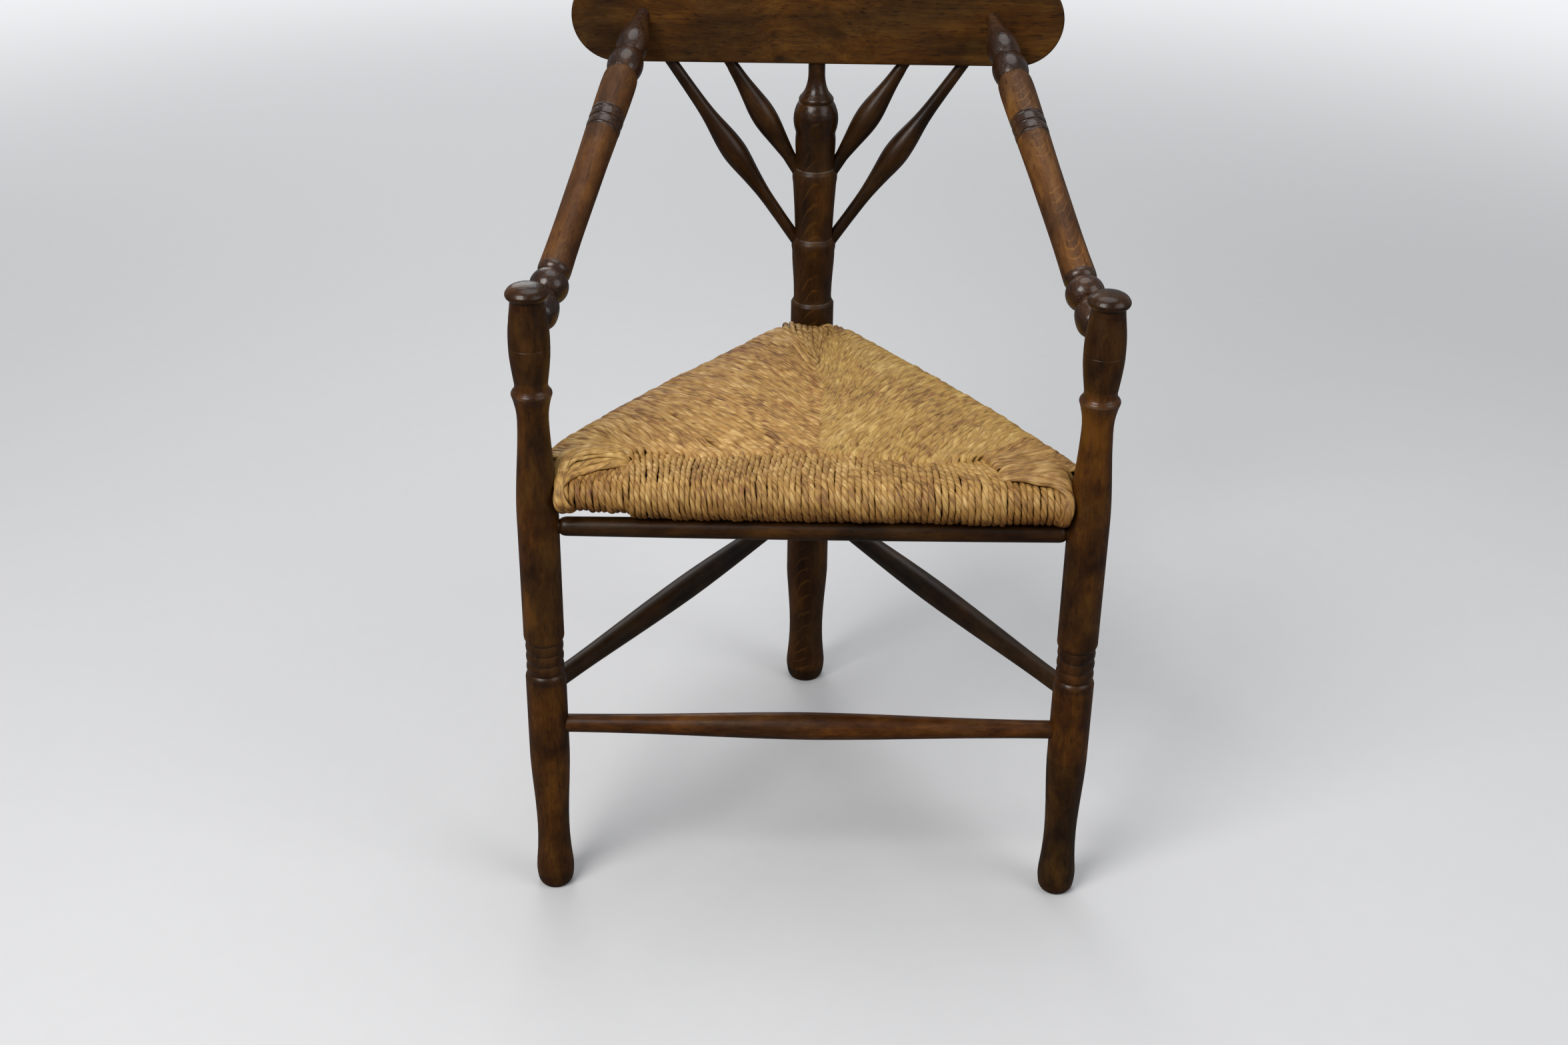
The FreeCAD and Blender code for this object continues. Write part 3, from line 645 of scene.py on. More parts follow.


# crease is how strongly the painted shade in the creases between plies shows
def rush_material(name, sizes, tint=(1.0, 1.0, 1.0), crease=0.5, contrast=1.0):
    """Twisted rush in the chair's colours, all multiplied by tint."""
    material, nodes, shader = new_material(name)
    along, around, _ = nodes.split(nodes.add("ShaderNodeUVMap", uv_map="cord_lay").outputs["UV"])
    # The second attribute says where painted shade falls between cords
    number, gap = (nodes.add("ShaderNodeAttribute", attribute_name=attribute).outputs["Fac"]
                   for attribute in ("cord_number", "cord_gap"))
    place = nodes.add("ShaderNodeTexCoord").outputs["Object"]
    shade, straw, pale, russet = (tuple(c * t for c, t in zip(colour, tint)) for colour in
                                  (sizes.shade, sizes.straw, sizes.pale, sizes.russet))
    leaf = placed(nodes, shared(leaf_group), Along=along, Around=around, Cord=number, Gap=gap,
                  Place=place, Shade=shade, Straw=straw, Pale=pale, Russet=russet, Crease=crease,
                  Contrast=contrast)
    nodes.put(shader.inputs["Base Color"], leaf["Color"])
    nodes.put(shader.inputs["Roughness"], leaf["Roughness"])
    shader.inputs["Specular IOR Level"].default_value = 0.45
    bump(nodes, shader, leaf["Height"], RUSH_RELIEF, 0.9)
    return material


# The strip's seam behind the front rail as (x, y), the middle seam as (y, x), and X of the strip's
# two ends, where the flaps begin
FRONT_SEAM = [(-166, 56.0), (-140, 52.0), (-112, 49.5), (-86, 51.0), (-58, 55.0), (-29, 58.5), (0, 59.5),
              (26, 57.0), (50, 52.0), (86, 46.0), (112, 43.5), (130, 46.0), (146, 52.0), (160, 55.0)]
MIDDLE_SEAM = [(45.0, 6.5), (82, 7.0), (118, 6.0), (154, 7.5), (179, 10.0), (205, 8.0), (232, 4.0),
               (250, 1.5), (268, 3.5), (300, 3.0)]
STRIP_EDGE = {-1: -156.5, 1: 159.5}
UNDER_SEAM_Z = 396.5
# How far back the mitre below a front corner runs, per mm in from the post along X
MITRE_SLOPE = 0.547

# Side panels. Places along a side rail are from the front post's axis: the first and the last
# cord, where the flap ends and where the cords leave the strip's seam for the middle one
FIRST_SIDE_CORD = 21.0
FLAP_END = 90.0
MIDDLE_START = 214.0
LAST_SIDE_CORD = 388.0
# Of each side: the seam's first two points as (x from the strip's end, y) and its last y; and of
# both: how many points follow the strip's seam and the middle seam, and where they change over
SEAM_START = {-1: ((-3.0, 40.0), (-5.0, 56.0)), 1: ((-0.5, 26.0), (-9.5, 54.0))}
LAST_SEAM_Y = {-1: 262.0, 1: 244.0}
FRONT_SEAM_POINTS, MIDDLE_SEAM_POINTS = 14, 20
FRONT_SEAM_LAST_Y, MIDDLE_SEAM_FIRST_Y = 62.0, 64.0
# By place along the rail: extra radius of the roll, the cord's heading at its seam in degrees, its
# height there, and its width share there
SIDE_SWELL = {-1: [(0, 0.4), (22, 3.0), (64, 6.8), (120, 7.6), (215, 7.2), (325, 3.6), (438, 1.4)],
              1: [(0, -3.0), (38, -1.4), (110, 1.4), (160, 3.2), (240, 3.2), (335, 2.0), (438, 1.2)]}
SIDE_HEADING = [(20, -4), (60, 4), (88, 24), (112, 56), (200, 62), (235, 46), (370, 50), (388, 56)]
SIDE_LEVEL = [(20, 428.6), (60, 428.0), (84, 426.4), (90, 428.6), (105, 427.5), (130, 424.0), (388, 423.6)]
SIDE_FLARE = [(20, 0.7), (84, 0.75), (92, 1.0), (120, 1.3), (200, 1.3), (230, 1.0), (400, 0.9)]
SIDE_WIDTH = 1.16
SIDE_TWIST = 85.0
# A flap's cords and the panel's: the run in which the width settles, and their pull at the rail
FLAP_FLARE_RUN, SIDE_FLARE_RUN = 45.0, 90.0
FLAP_PULL, SIDE_PULL = 0.55, 0.85


def rail_axis(side, at):
    """Point on a side rail's axis at a distance from the front post's axis."""
    share = at / SIDE_RUN
    return np.array([side * HALF_WIDTH * (1.0 - share), SEAT_DEPTH * share,
                     SIDE_RAIL_FRONT_Z + (SIDE_RAIL_REAR_Z - SIDE_RAIL_FRONT_Z) * share])


def rail_inward(side):
    """Level direction from a side rail straight in over the seat."""
    return np.array([-side * SEAT_DEPTH, -HALF_WIDTH, 0.0]) / SIDE_RUN


def wound_line(top_end, top_aim, over, bottom_aim, bottom_end, pull):
    """A cord's line: up out of its seam, over the top to the rail, round it, and back below.
    over is the arc round the rail as (points, outward directions); pull is how hard the line
    keeps its direction at the seam and at the rail. Also gives how far along it can be seen."""
    top_aim, bottom_aim = (unit(np.append(aim, 0.0)) for aim in (top_aim, bottom_aim))
    arc, arc_out = over
    leave, arrive = unit(arc[1] - arc[0]), unit(arc[-1] - arc[-2])
    reach = np.linalg.norm(arc[0] - top_end)
    upper = hermite(top_end, arc[0], -top_aim * reach * pull[0], leave * reach * pull[1], UPPER_POINTS)
    reach = np.linalg.norm(arc[-1] - bottom_end) * LOWER_PULL
    lower = hermite(arc[-1], bottom_end, arrive * reach, bottom_aim * reach, LOWER_POINTS)
    sink = [top_end + top_aim * on - UPWARD * down for on, down in DIVE]
    climb = [bottom_end + bottom_aim * on + UPWARD * down for on, down in reversed(DIVE[1:])]
    line = np.vstack([*sink, upper, arc[1:-1], lower, *climb])
    out = np.vstack([top_aim, top_aim, UPWARD * 0.7 + top_aim * 0.5, np.tile(UPWARD, (UPPER_POINTS, 1)),
                     arc_out[1:-1], np.tile(-UPWARD, (LOWER_POINTS, 1)),
                     bottom_aim * 0.5 - UPWARD * 0.7, bottom_aim])
    return line, out, lengths(line)[len(sink) + UPPER_POINTS + ARC_POINTS - 4]


def rail_arc(centre, outward, radius, foot=0.0):
    """Half turn round a rail from its top, past outward, to its underside; foot is how far the
    cord has moved along X by then."""
    turn = np.linspace(0.0, math.pi, ARC_POINTS)[:, None]
    direction = np.cos(turn) * UPWARD + np.sin(turn) * outward
    slant = (turn / math.pi) ** 2 * np.array([foot, 0.0, 0.0])
    return centre + direction * radius + slant, direction


class Seam:
    """Where one side panel's cords go down: the strip's edge, the strip's seam, the middle seam."""

    def __init__(self, side):
        points = [(STRIP_EDGE[side] + x, y) for x, y in SEAM_START[side]]
        inner_x = read(MIDDLE_SEAM, FRONT_SEAM_LAST_Y)
        xs = np.linspace(points[-1][0], inner_x, FRONT_SEAM_POINTS + 1)[1:]
        points += [(x, read(FRONT_SEAM, x) + 1.0) for x in xs]
        ys = np.linspace(MIDDLE_SEAM_FIRST_Y, LAST_SEAM_Y[side], MIDDLE_SEAM_POINTS)
        points += [(read(MIDDLE_SEAM, y) + side * 0.4, y) for y in ys]
        self.side = side
        self.points = np.array(points)
        self.run = lengths(self.points)
        self.stations = ([FIRST_SIDE_CORD, FLAP_END, MIDDLE_START, LAST_SIDE_CORD],
                         self.run[[0, 1, FRONT_SEAM_POINTS + 1, -1]])

    def end(self, at):
        """Seam point and the cord's heading there for a place along the rail."""
        run = np.interp(at, *self.stations)
        x, y = (np.interp(run, self.run, axis) for axis in self.points.T)
        heading = math.radians(read(SIDE_HEADING, at))
        return x, y, np.array([-self.side * math.cos(heading), -math.sin(heading)])


def wind_side(side, sizes, maker, first, last):
    """The cords of one side panel that cross its rail between two places."""
    seam = Seam(side)
    inward = rail_inward(side)
    rnd = maker.random
    high, wide = sizes.cord_height / MM, sizes.cord_width / MM
    roll = sizes.side_roll / MM / 2.0 - high / 2.0
    count = int(round((last - first) / (sizes.pitch / MM)))
    for number in range(count):
        at = first + (last - first) * (number + 0.5) / count + rnd.uniform(-0.6, 0.6)
        flap = at < FLAP_END
        radius = roll + read(SIDE_SWELL[side], at) + rnd.uniform(-0.35, 0.35)
        arc = rail_arc(rail_axis(side, at), -inward, radius)
        x, y, aim = seam.end(at)
        top_end = np.array([x + rnd.uniform(-0.6, 0.6), y + rnd.uniform(-1.2, 1.2),
                            read(SIDE_LEVEL, at) + rnd.uniform(-0.6, 0.6)])
        under = np.array([x, y, UNDER_SEAM_Z])
        if flap:
            under = np.array([side * (HALF_WIDTH - at), MITRE_SLOPE * at, UNDER_SEAM_Z + 1.0])
        pull = (SIDE_PULL, FLAP_PULL if flap else SIDE_PULL)
        line, out, seen = wound_line(top_end, aim, arc, inward[:2], under, pull)
        maker.add(line, out, wide * SIDE_WIDTH, high, SIDE_TWIST, flare=read(SIDE_FLARE, at),
                  flare_run=FLAP_FLARE_RUN if flap else SIDE_FLARE_RUN, fine=seen)


# The turns at each front corner, from the one that wraps the rail by the post to the ones that
# dive beside the post: points from the underside, up over the corner, to the strip's edge
CORNER_TURNS = {
    -1: [[(-205, 8, 394.5), (-208, -3, 392.5), (-212, -13.5, 396.5), (-215.5, -17.2, 405.0),
          (-217.0, -14.5, 415.5), (-215.5, -8.0, 423.0), (-210.0, 1.5, 426.4), (-200.5, 10.0, 427.8),
          (-188, 17.0, 428.2), (-174, 22.5, 428.0), (-163.5, 26.0, 426.0), (-159.5, 26.5, 419.0)],
         [(-200, 10, 395.0), (-203, -1, 393.0), (-207, -12.0, 396.5), (-210.5, -16.0, 404.0),
          (-213.8, -14.0, 413.5), (-215.8, -6.0, 424.0), (-213.8, 3.5, 429.6), (-205.0, 13.0, 431.8),
          (-190, 21.0, 431.8), (-174, 26.8, 430.6), (-163.5, 30.4, 427.0), (-159.5, 31.0, 419.0)],
         [(-214.5, 1.0, 411.0), (-215.4, 0.8, 415.0), (-216.4, 0.5, 420.0), (-216.8, 1.2, 427.0),
          (-214.2, 7.5, 433.4), (-205.5, 16.8, 436.4), (-190.5, 25.5, 436.0), (-174.5, 31.2, 433.2),
          (-163.5, 34.5, 427.6), (-159.5, 35.0, 419.0)],
         [(-213, 9.5, 405.0), (-215.2, 8.5, 411.0), (-216.5, 7.5, 418.0), (-217.0, 8.0, 428.0),
          (-213.6, 12.5, 435.8), (-205.0, 19.6, 439.0), (-190.5, 28.0, 438.0), (-174.5, 33.6, 434.6),
          (-163.5, 37.0, 428.0), (-159.5, 37.5, 419.0)],
         [(-217, 16.0, 405.0), (-219.8, 14.6, 412.0), (-220.8, 14.0, 420.0), (-220.2, 14.5, 430.5),
          (-215.0, 18.0, 438.0), (-205.0, 24.0, 441.0), (-190.5, 31.0, 439.6), (-174.5, 36.2, 435.4),
          (-163.5, 39.5, 428.4), (-159.5, 40.0, 419.0)]],
    1: [[(206, 8, 394.5), (209, -3, 392.5), (213, -13.5, 396.5), (216.0, -17.0, 406.0),
         (217.4, -14.0, 415.0), (215.0, -8.0, 421.5), (208.0, -1.8, 425.8), (197.5, 2.2, 427.6),
         (184, 6.2, 428.0), (172, 9.0, 427.8), (163, 10.8, 426.4), (157.5, 11.3, 419.5)],
        [(202, 10, 395.0), (204, -1, 393.0), (208, -12.0, 396.5), (211.5, -15.8, 404.0),
         (214.3, -14.2, 412.5), (216.0, -6.0, 423.0), (213.0, 1.6, 428.4), (203.0, 6.2, 430.4),
         (188, 10.4, 430.2), (173, 13.6, 429.0), (163, 15.2, 426.8), (157.0, 15.8, 419.5)],
        [(214.5, 1.0, 411.0), (215.4, 0.8, 415.0), (216.4, 0.5, 419.0), (216.8, 1.0, 424.5),
         (213.4, 5.4, 430.2), (203.6, 9.6, 432.2), (188.5, 13.6, 431.6), (173.5, 16.6, 429.8),
         (163.2, 18.2, 427.2), (157.0, 18.8, 419.5)],
        [(213, 9.5, 405.0), (215.2, 8.5, 411.0), (216.5, 7.5, 417.0), (216.6, 7.8, 425.0),
         (212.6, 11.0, 431.4), (203.0, 14.6, 433.4), (188.5, 17.8, 432.4), (173.5, 20.0, 430.4),
         (163.2, 21.6, 427.6), (157.0, 22.2, 419.5)],
        [(217, 16.0, 405.0), (219.8, 14.6, 412.0), (220.6, 14.0, 418.0), (219.8, 14.4, 426.0),
         (213.8, 17.0, 432.6), (203.0, 19.6, 434.4), (188.5, 21.8, 433.2), (173.5, 23.4, 430.8),
         (163.2, 24.6, 427.8), (157.0, 25.2, 419.5)]],
}

# Of each side's turns: how much wider they are than a cord, Y of the middle of their bend, and to
# what share of its depth the part below TURN_LOW_Z is drawn up. Their bends face little sideways.
TURN_WIDTH = {-1: 1.6, 1: 1.3}
TURN_MIDDLE_Y = {-1: 34.0, 1: 20.0}
TURN_MIDDLE_Z = 400.0
TURN_SIDEWAYS = 0.15
TURN_LOW_Z = 415.0
TURN_DEPTH = {-1: 0.66, 1: 1.0}


def wind_turns(side, sizes, maker):
    """The last turns at a front corner, which make the flap's lower edge."""
    high, wide = sizes.cord_height / MM, sizes.cord_width / MM
    for path in CORNER_TURNS[side]:
        line = through_points(path, 7)
        low = line[:, 2] < TURN_LOW_Z
        line[low, 2] = TURN_LOW_Z - (TURN_LOW_Z - line[low, 2]) * TURN_DEPTH[side]
        out = line - np.array([line[:, 0].mean(), TURN_MIDDLE_Y[side], TURN_MIDDLE_Z])
        out[:, 0] *= TURN_SIDEWAYS
        maker.add(line, out, wide * TURN_WIDTH[side], high, SIDE_TWIST)


# By X along the front rail: spacing of the strip's cords as a share of the pitch, how far a cord
# leans along X on its way back to the seam, how far its foot has moved, and how far the centre of
# the roll lies below the rail's axis. The roll's radius grows by the same, so that its top stays.
STRIP_SPACING = [(-30.0, 0.905), (0.0, 1.10)]
STRIP_LEAN = [(-156, -6.2), (-148, -4.4), (-130, -1.0), (-100, 3.2), (0, 4.5), (40, 2.0), (100, -1.0),
              (130, -6.0), (150, -11.0), (164, -15.0)]
STRIP_FOOT = [(-156, 1.5), (-130, 5.0), (0, 4.5), (60, 2.5), (110, 0.5), (164, 0.0)]
STRIP_HANG = [(-156, -0.4), (-110, 0.0), (90, 0.0), (140, 0.8)]
STRIP_TOP_Z = 422.6
# Width share of a strip cord at its seam, and what it is up to STRIP_END_X
STRIP_FLARE = 1.16
STRIP_END_FLARE = 1.28
STRIP_END_X = -100.0
FRONT_PULL = (0.8, 0.8)


def strip_places(left, right, pitch):
    """X of the strip's cords, closer together at its right-hand end as the sitter has it."""
    x = left + (right - left) * np.linspace(0.0, 1.0, 200)
    near = np.interp(x, *zip(*STRIP_SPACING)) * pitch
    count = np.concatenate([[0.0], np.cumsum(np.diff(x) / near[1:])])
    return np.interp(np.arange(0, int(count[-1]) + 1), count, x)


def wind_front(sizes, maker):
    """The front strip between its two steps."""
    high, wide, pitch = sizes.cord_height / MM, sizes.cord_width / MM, sizes.pitch / MM
    radius = sizes.front_roll / MM / 2.0 - high / 2.0
    places = strip_places(STRIP_EDGE[-1] + wide / 2.0 - 0.6, STRIP_EDGE[1] + 4.0, pitch)
    last = len(places) - 1
    rnd = maker.random
    for number, x in enumerate(places):
        space = (places[min(number + 1, last)] - places[max(number - 1, 0)]) / 2.0
        if number in (0, last):
            space *= 2.0
        x = x + rnd.uniform(-0.35, 0.35) - (1.0 if number >= last - 2 else 0.0)
        lean = read(STRIP_LEAN, x) + rnd.uniform(-0.4, 0.4)
        foot = read(STRIP_FOOT, x)
        back_y = read(FRONT_SEAM, x + lean) - 1.2 + rnd.uniform(-1.2, 0.6)
        shift = rnd.uniform(-0.35, 0.45)
        hang = read(STRIP_HANG, x)
        arc = rail_arc(np.array([x, 0.0, FRONT_RAIL_Z - hang]), FORWARD, radius + hang + shift,
                       foot=foot + rnd.uniform(-0.5, 0.5))
        top_end = np.array([x + lean, back_y, STRIP_TOP_Z + rnd.uniform(-0.5, 0.5)])
        under = np.array([x + foot, back_y - 2.0, UNDER_SEAM_Z])
        line, out, seen = wound_line(top_end, (lean * 0.02, 1.0), arc, (0.0, 1.0), under, FRONT_PULL)
        maker.add(line, out, space * wide / pitch, high, sizes.twist / MM,
                  flare=STRIP_END_FLARE if x < STRIP_END_X else STRIP_FLARE, flare_run=30.0, fine=seen)


# The short turns at each front corner, from the one by the post to the one by the strip, in mm: X of
# the first and last, how far a foot moves along X, how far the roll hangs at the post, how far back
# a cord ends and how far it moves along X on the way as (first, growth to the last), the X where
# that stops, and how far its heading there leans along X
SHORT_TURNS = {-1: {"outer": -211.0, "inner": -159.6, "foot": 5.0, "hang": -2.0, "back": (22.0, 12.0),
                    "sweep": (8.0, 6.0), "stop": STRIP_EDGE[-1] - 1.0, "lean": 0.45},
               1: {"outer": 211.6, "inner": 166.6, "foot": 1.5, "hang": 1.9, "back": (15.0, 9.0),
                   "sweep": (-3.5, 0.0), "stop": math.inf, "lean": -0.1}}
SHORT_TURN_TOP_Z = 424.5
SHORT_TURN_SPACING = 1.03
# By the strip: share of the hang that is gone and extra radius in mm; by the post: share of the foot
HANG_GONE = 0.3
STRIP_SIDE_SWELL = 1.0
FIRST_FOOT = 0.4


def wind_corners(sizes, maker):
    """The short turns at both front corners, which the flaps cover at the back."""
    high, wide = sizes.cord_height / MM, sizes.cord_width / MM
    radius = sizes.corner_roll / MM / 2.0 - high / 2.0
    rnd = maker.random
    for corner in SHORT_TURNS.values():
        outer, inner = corner["outer"], corner["inner"]
        count = int(round(abs(outer - inner) / (SHORT_TURN_SPACING * sizes.pitch / MM))) + 1
        for number in range(count):
            share = number / (count - 1)
            x = outer + (inner - outer) * share + rnd.uniform(-0.3, 0.3)
            hang = corner["hang"] * (1.0 - HANG_GONE * share)
            arc = rail_arc(np.array([x, 0.0, FRONT_RAIL_Z - hang]), FORWARD,
                           radius + hang + rnd.uniform(-0.3, 0.5) + STRIP_SIDE_SWELL * share,
                           foot=corner["foot"] * (FIRST_FOOT + (1.0 - FIRST_FOOT) * share))
            back, sweep = (start + growth * share for start, growth in (corner["back"], corner["sweep"]))
            top_end = np.array([min(x + sweep, corner["stop"]), back, SHORT_TURN_TOP_Z])
            under = np.array([x + corner["foot"], MITRE_SLOPE * (HALF_WIDTH - abs(x)), UNDER_SEAM_Z + 0.5])
            line, out, seen = wound_line(top_end, (corner["lean"], 1.0), arc, (0.0, 1.0), under, FRONT_PULL)
            maker.add(line, out, wide, high, sizes.twist / MM, fine=seen)


# The fan at the rear corner: X of each cord where it turns down before the rear post, and how far
# back it does so, in mm; and by a cord's number from the middle one, Y of its end at the seam
REAR_TURNS = [(-26.5, 7.0), (-20.0, 8.5), (-13.2, 5.0), (-7.6, 3.0), (-2.2, 1.2), (3.1, 0.6), (8.4, 0.3),
              (13.6, 0.2), (18.8, 1.2), (23.4, 3.0), (28.4, -0.5)]
REAR_TURN_Y = 326.5
REAR_TURN_Z = 413.6
REAR_TURN_RADIUS = 14.6
REAR_SEAM_Y = [(-5, 290), (-3, 280), (0, 269), (3, 262), (5, 256)]
REAR_TOP_Z = 423.0
# The last loops round the side rails, up to the rear post: place along the rail and radius, in mm
REAR_LOOPS = ((388.6, 14.6), (390.8, 12.4), (395.0, 10.8), (399.9, 10.8), (404.8, 10.8), (409.7, 10.8),
              (414.6, 10.8))
# Turn at the two ends of such a loop, in degrees from its top
LOOP_START, LOOP_END = -80.0, 260.0


def wind_rear(sizes, maker):
    """The short fan of cords over the rear corner, and the loops that close the side rolls at the
    rear post."""
    high, wide = sizes.cord_height / MM, sizes.cord_width / MM
    rnd = maker.random
    for spread, (x, back) in enumerate(REAR_TURNS, -5):
        centre = np.array([x, REAR_TURN_Y + 0.85 * back, REAR_TURN_Z + 0.25 * back])
        arc = rail_arc(centre, -FORWARD, REAR_TURN_RADIUS)
        deep = read(REAR_SEAM_Y, spread)
        across = read(MIDDLE_SEAM, deep) + spread * (2.2 if spread < 0 else 0.9)
        aim = (-0.18 * spread, -1.0)
        rise = 2.4 if spread < 0 else -0.8 * spread
        top_end = np.array([across, deep + rnd.uniform(-0.8, 0.8), REAR_TOP_Z + rise])
        under = np.array([across, deep, UNDER_SEAM_Z])
        line, out, seen = wound_line(top_end, aim, arc, aim, under, (0.7, 1.0))
        maker.add(line, out, wide * 1.04, high * 1.06, sizes.twist / MM, flare=0.72, fine=seen)
    turn = np.radians(np.linspace(LOOP_START, LOOP_END, 30))[:, None]
    for side in SIDES:
        for at, radius in REAR_LOOPS:
            direction = np.cos(turn) * UPWARD - np.sin(turn) * rail_inward(side)
            maker.add(rail_axis(side, at) + direction * radius, direction, wide, high, sizes.twist / MM)


# Sizes and colours that a user may change


def colour_setting(name, description, default):
    """A colour in the sidebar."""
    return bpy.props.FloatVectorProperty(name=name, description=description, default=default, size=3,
                                         subtype="COLOR", min=0.0, max=1.0)


def length_setting(name, description, default, low, high):
    """A length in the sidebar, in metres."""
    return bpy.props.FloatProperty(name=name, description=description, default=default, min=low,
                                   max=high, unit="LENGTH")


def share_setting(name, description, default, low, high):
    """A plain number in the sidebar."""
    return bpy.props.FloatProperty(name=name, description=description, default=default, min=low,
                                   max=high, subtype="FACTOR")


class WoodColours(bpy.types.PropertyGroup):
    """Stain and polish of the frame."""

    dark: colour_setting("Dark stain", "Darkest fibres of the turned frame", (0.0185, 0.0066, 0.0012))
    middle: colour_setting("Middle stain", "General colour of the turned frame", (0.044, 0.0165, 0.0024))
    light: colour_setting("Light stain", "Lightest grain of the turned frame", (0.088, 0.037, 0.0058))
    arm_dark: colour_setting("Arm dark", "Darkest fibres of the arm shafts", (0.038, 0.0145, 0.0036))
    arm_middle: colour_setting("Arm middle", "General colour of the arm shafts", (0.090, 0.0375, 0.0105))
    arm_light: colour_setting("Arm light", "Lightest grain of the arm shafts", (0.165, 0.078, 0.0220))
    board_dark: colour_setting("Board dark", "Darkest fibres of the back board", (0.027, 0.0104, 0.0018))
    board_middle: colour_setting("Board middle", "General colour of the back board", (0.062, 0.0250, 0.0033))
    board_light: colour_setting("Board light", "Lightest grain of the back board", (0.120, 0.0560, 0.0090))
    polish: share_setting("Polish roughness", "Roughness of the old polish", 0.46, 0.05, 1.0)


class RushSizes(bpy.types.PropertyGroup):
    """The wound seat."""

    pitch: length_setting("Cord spacing", "Distance between cords along a rail", 5.15 * MM, 0.003, 0.012)
    cord_width: length_setting("Cord width", "Width of a cord across the seat", 5.95 * MM, 0.003, 0.012)
    cord_height: length_setting("Cord height", "Thickness of a cord", 5.2 * MM, 0.002, 0.012)
    twist: length_setting("Twist length", "Length of one full turn of a cord", 30.0 * MM, 0.01, 0.1)
    front_roll: length_setting("Front roll", "Diameter over the cords at the middle of the front rail",
                               37.4 * MM, 0.02, 0.06)
    corner_roll: length_setting("Corner roll", "Diameter over the short turns at the front corners",
                                31.0 * MM, 0.02, 0.06)
    side_roll: length_setting("Side roll", "Diameter over the cords on a side rail", 34.0 * MM, 0.02, 0.06)
    straw: colour_setting("Straw", "General colour of the rush", (0.475, 0.266, 0.069))
    pale: colour_setting("Pale leaf", "Colour of the palest leaves", (0.74, 0.49, 0.185))
    shade: colour_setting("Brown leaf", "Colour of the darkest leaves", (0.17, 0.072, 0.020))
    russet: colour_setting("Russet leaf", "Colour of the reddish leaves", (0.30, 0.112, 0.040))


class StageSizes(bpy.types.PropertyGroup):
    """Floor and lamps."""

    floor: colour_setting("Floor", "Colour of the plain floor", (0.74, 0.74, 0.75))
    floor_radius: length_setting("Floor radius", "Radius of the round floor", 9.0, 2.0, 30.0)
    lamps: share_setting("Lamp level", "Share of the lamps' full power", 1.0, 0.0, 4.0)
    sky: share_setting("Room light", "Strength of the even light from all round", 0.26, 0.0, 2.0)


# Turned frame

UP = Vector((0, 0, 1))
ACROSS = Vector((1, 0, 0))
# Bands round a post, in mm off the floor: the end of its foot, and of a front post its rings, its
# collar, the vase above that and its cap
FOOT_BAND = (-5, 14, (0.62, 0.6, 0.6), 0.8, 0.0)
FRONT_POST_BANDS = (FOOT_BAND, (226, 268, (0.62, 0.6, 0.62), 0.8, 0.08),
                    (500, 517, (0.72, 0.7, 0.7), 0.6, 0.12), (517, 583, (0.50, 0.54, 0.85), 0.9, 0.0),
                    (583, 612, (0.42, 0.42, 0.62), 0.9, 0.16))
# Where the arms' axes start at the posts and end at the board, and half the board's thickness
ARM_FOOT_Z = 549.4 * MM
ARM_HEAD_Z = 729.3 * MM
ARM_HEAD_X = 164.0 * MM
BOARD_HALF = 11.0 * MM
# Stain of the arms' turned ends and band, and gloss of the varnish on it
ARM_END_STAIN = (0.036, 0.0150, 0.0065)
ARM_END_GLOSS = 0.34
# Knots in the board as (x, z, reach, darkness), in mm; the first only bends the grain
BOARD_KNOTS = [(-20.0, 724.0, 90.0, 0.0), (-41.0, 713.0, 14.0, 0.8), (-42.0, 702.0, 15.0, 0.5),
               (-36.0, 690.0, 22.0, 0.85), (-118.0, 702.0, 60.0, 0.4), (-196.0, 720.0, 90.0, 0.25)]


def stains(colours, share=(1.0, 1.0, 1.0), kind=""):
    """Dark, middle and light stain of the frame, or of another kind of wood, multiplied by share."""
    return [tuple(c * s for c, s in zip(getattr(colours, kind + tone), share))
            for tone in ("dark", "middle", "light")]


class CORNERCHAIR_OT_posts(bpy.types.Operator):
    """Finish the three turned posts in dark stain, with pale lines of rubbed varnish and painted highlight at
    collars and rings
    """

    bl_idname = "cornerchair.posts"
    bl_label = "Posts"

    def execute(self, context):
        colours = context.scene.corner_chair_wood
        tones = stains(colours, (1.30, 1.26, 0.90))
        for name, seed, pith, low in (("front_post_left", 3.0, (0.030, -0.022, 0.004), (0.66, 0.76, 0.92)),
                                      ("front_post_right", 7.0, (-0.020, -0.030, 0.006), (1.05, 1.08, 1.08))):
            place = node_middle(name)
            finish_node(name, UP, (place.x, place.y, 0.0), tones, seed, pith, 3.4, rings=0.06, fibre=0.32,
                        cloud=1.9, pores=0.22, polish=colours.polish, wear=0.8, wander=5.0,
                        bands=[(14, 150, low, 0.9, 0.0), *FRONT_POST_BANDS],
                        lines=[(505.6, 1.2, 0.3), (590.5, 1.0, 0.3)])
        tones = stains(colours, (0.80, 0.82, 0.78))
        finish_node("rear_post", UP, (REAR.x, REAR.y, 0.0), tones, 11.0, (-0.004, 0.040, -0.24), 3.6,
                    rings=0.50, figure=0.010, fibre=0.28, cloud=1.2, pores=0.2, polish=colours.polish,
                    wander=5.0, bands=[FOOT_BAND, (14, 330, (1.40, 1.34, 1.30), 0.9, 0.0),
                                       (612, 690, (0.85, 0.83, 0.9), 0.8, 0.16)],
                    lines=[(444.0, 0.9, 0.45), (510.5, 1.0, 0.6), (581.5, 1.0, 0.6)])
        return {"FINISHED"}


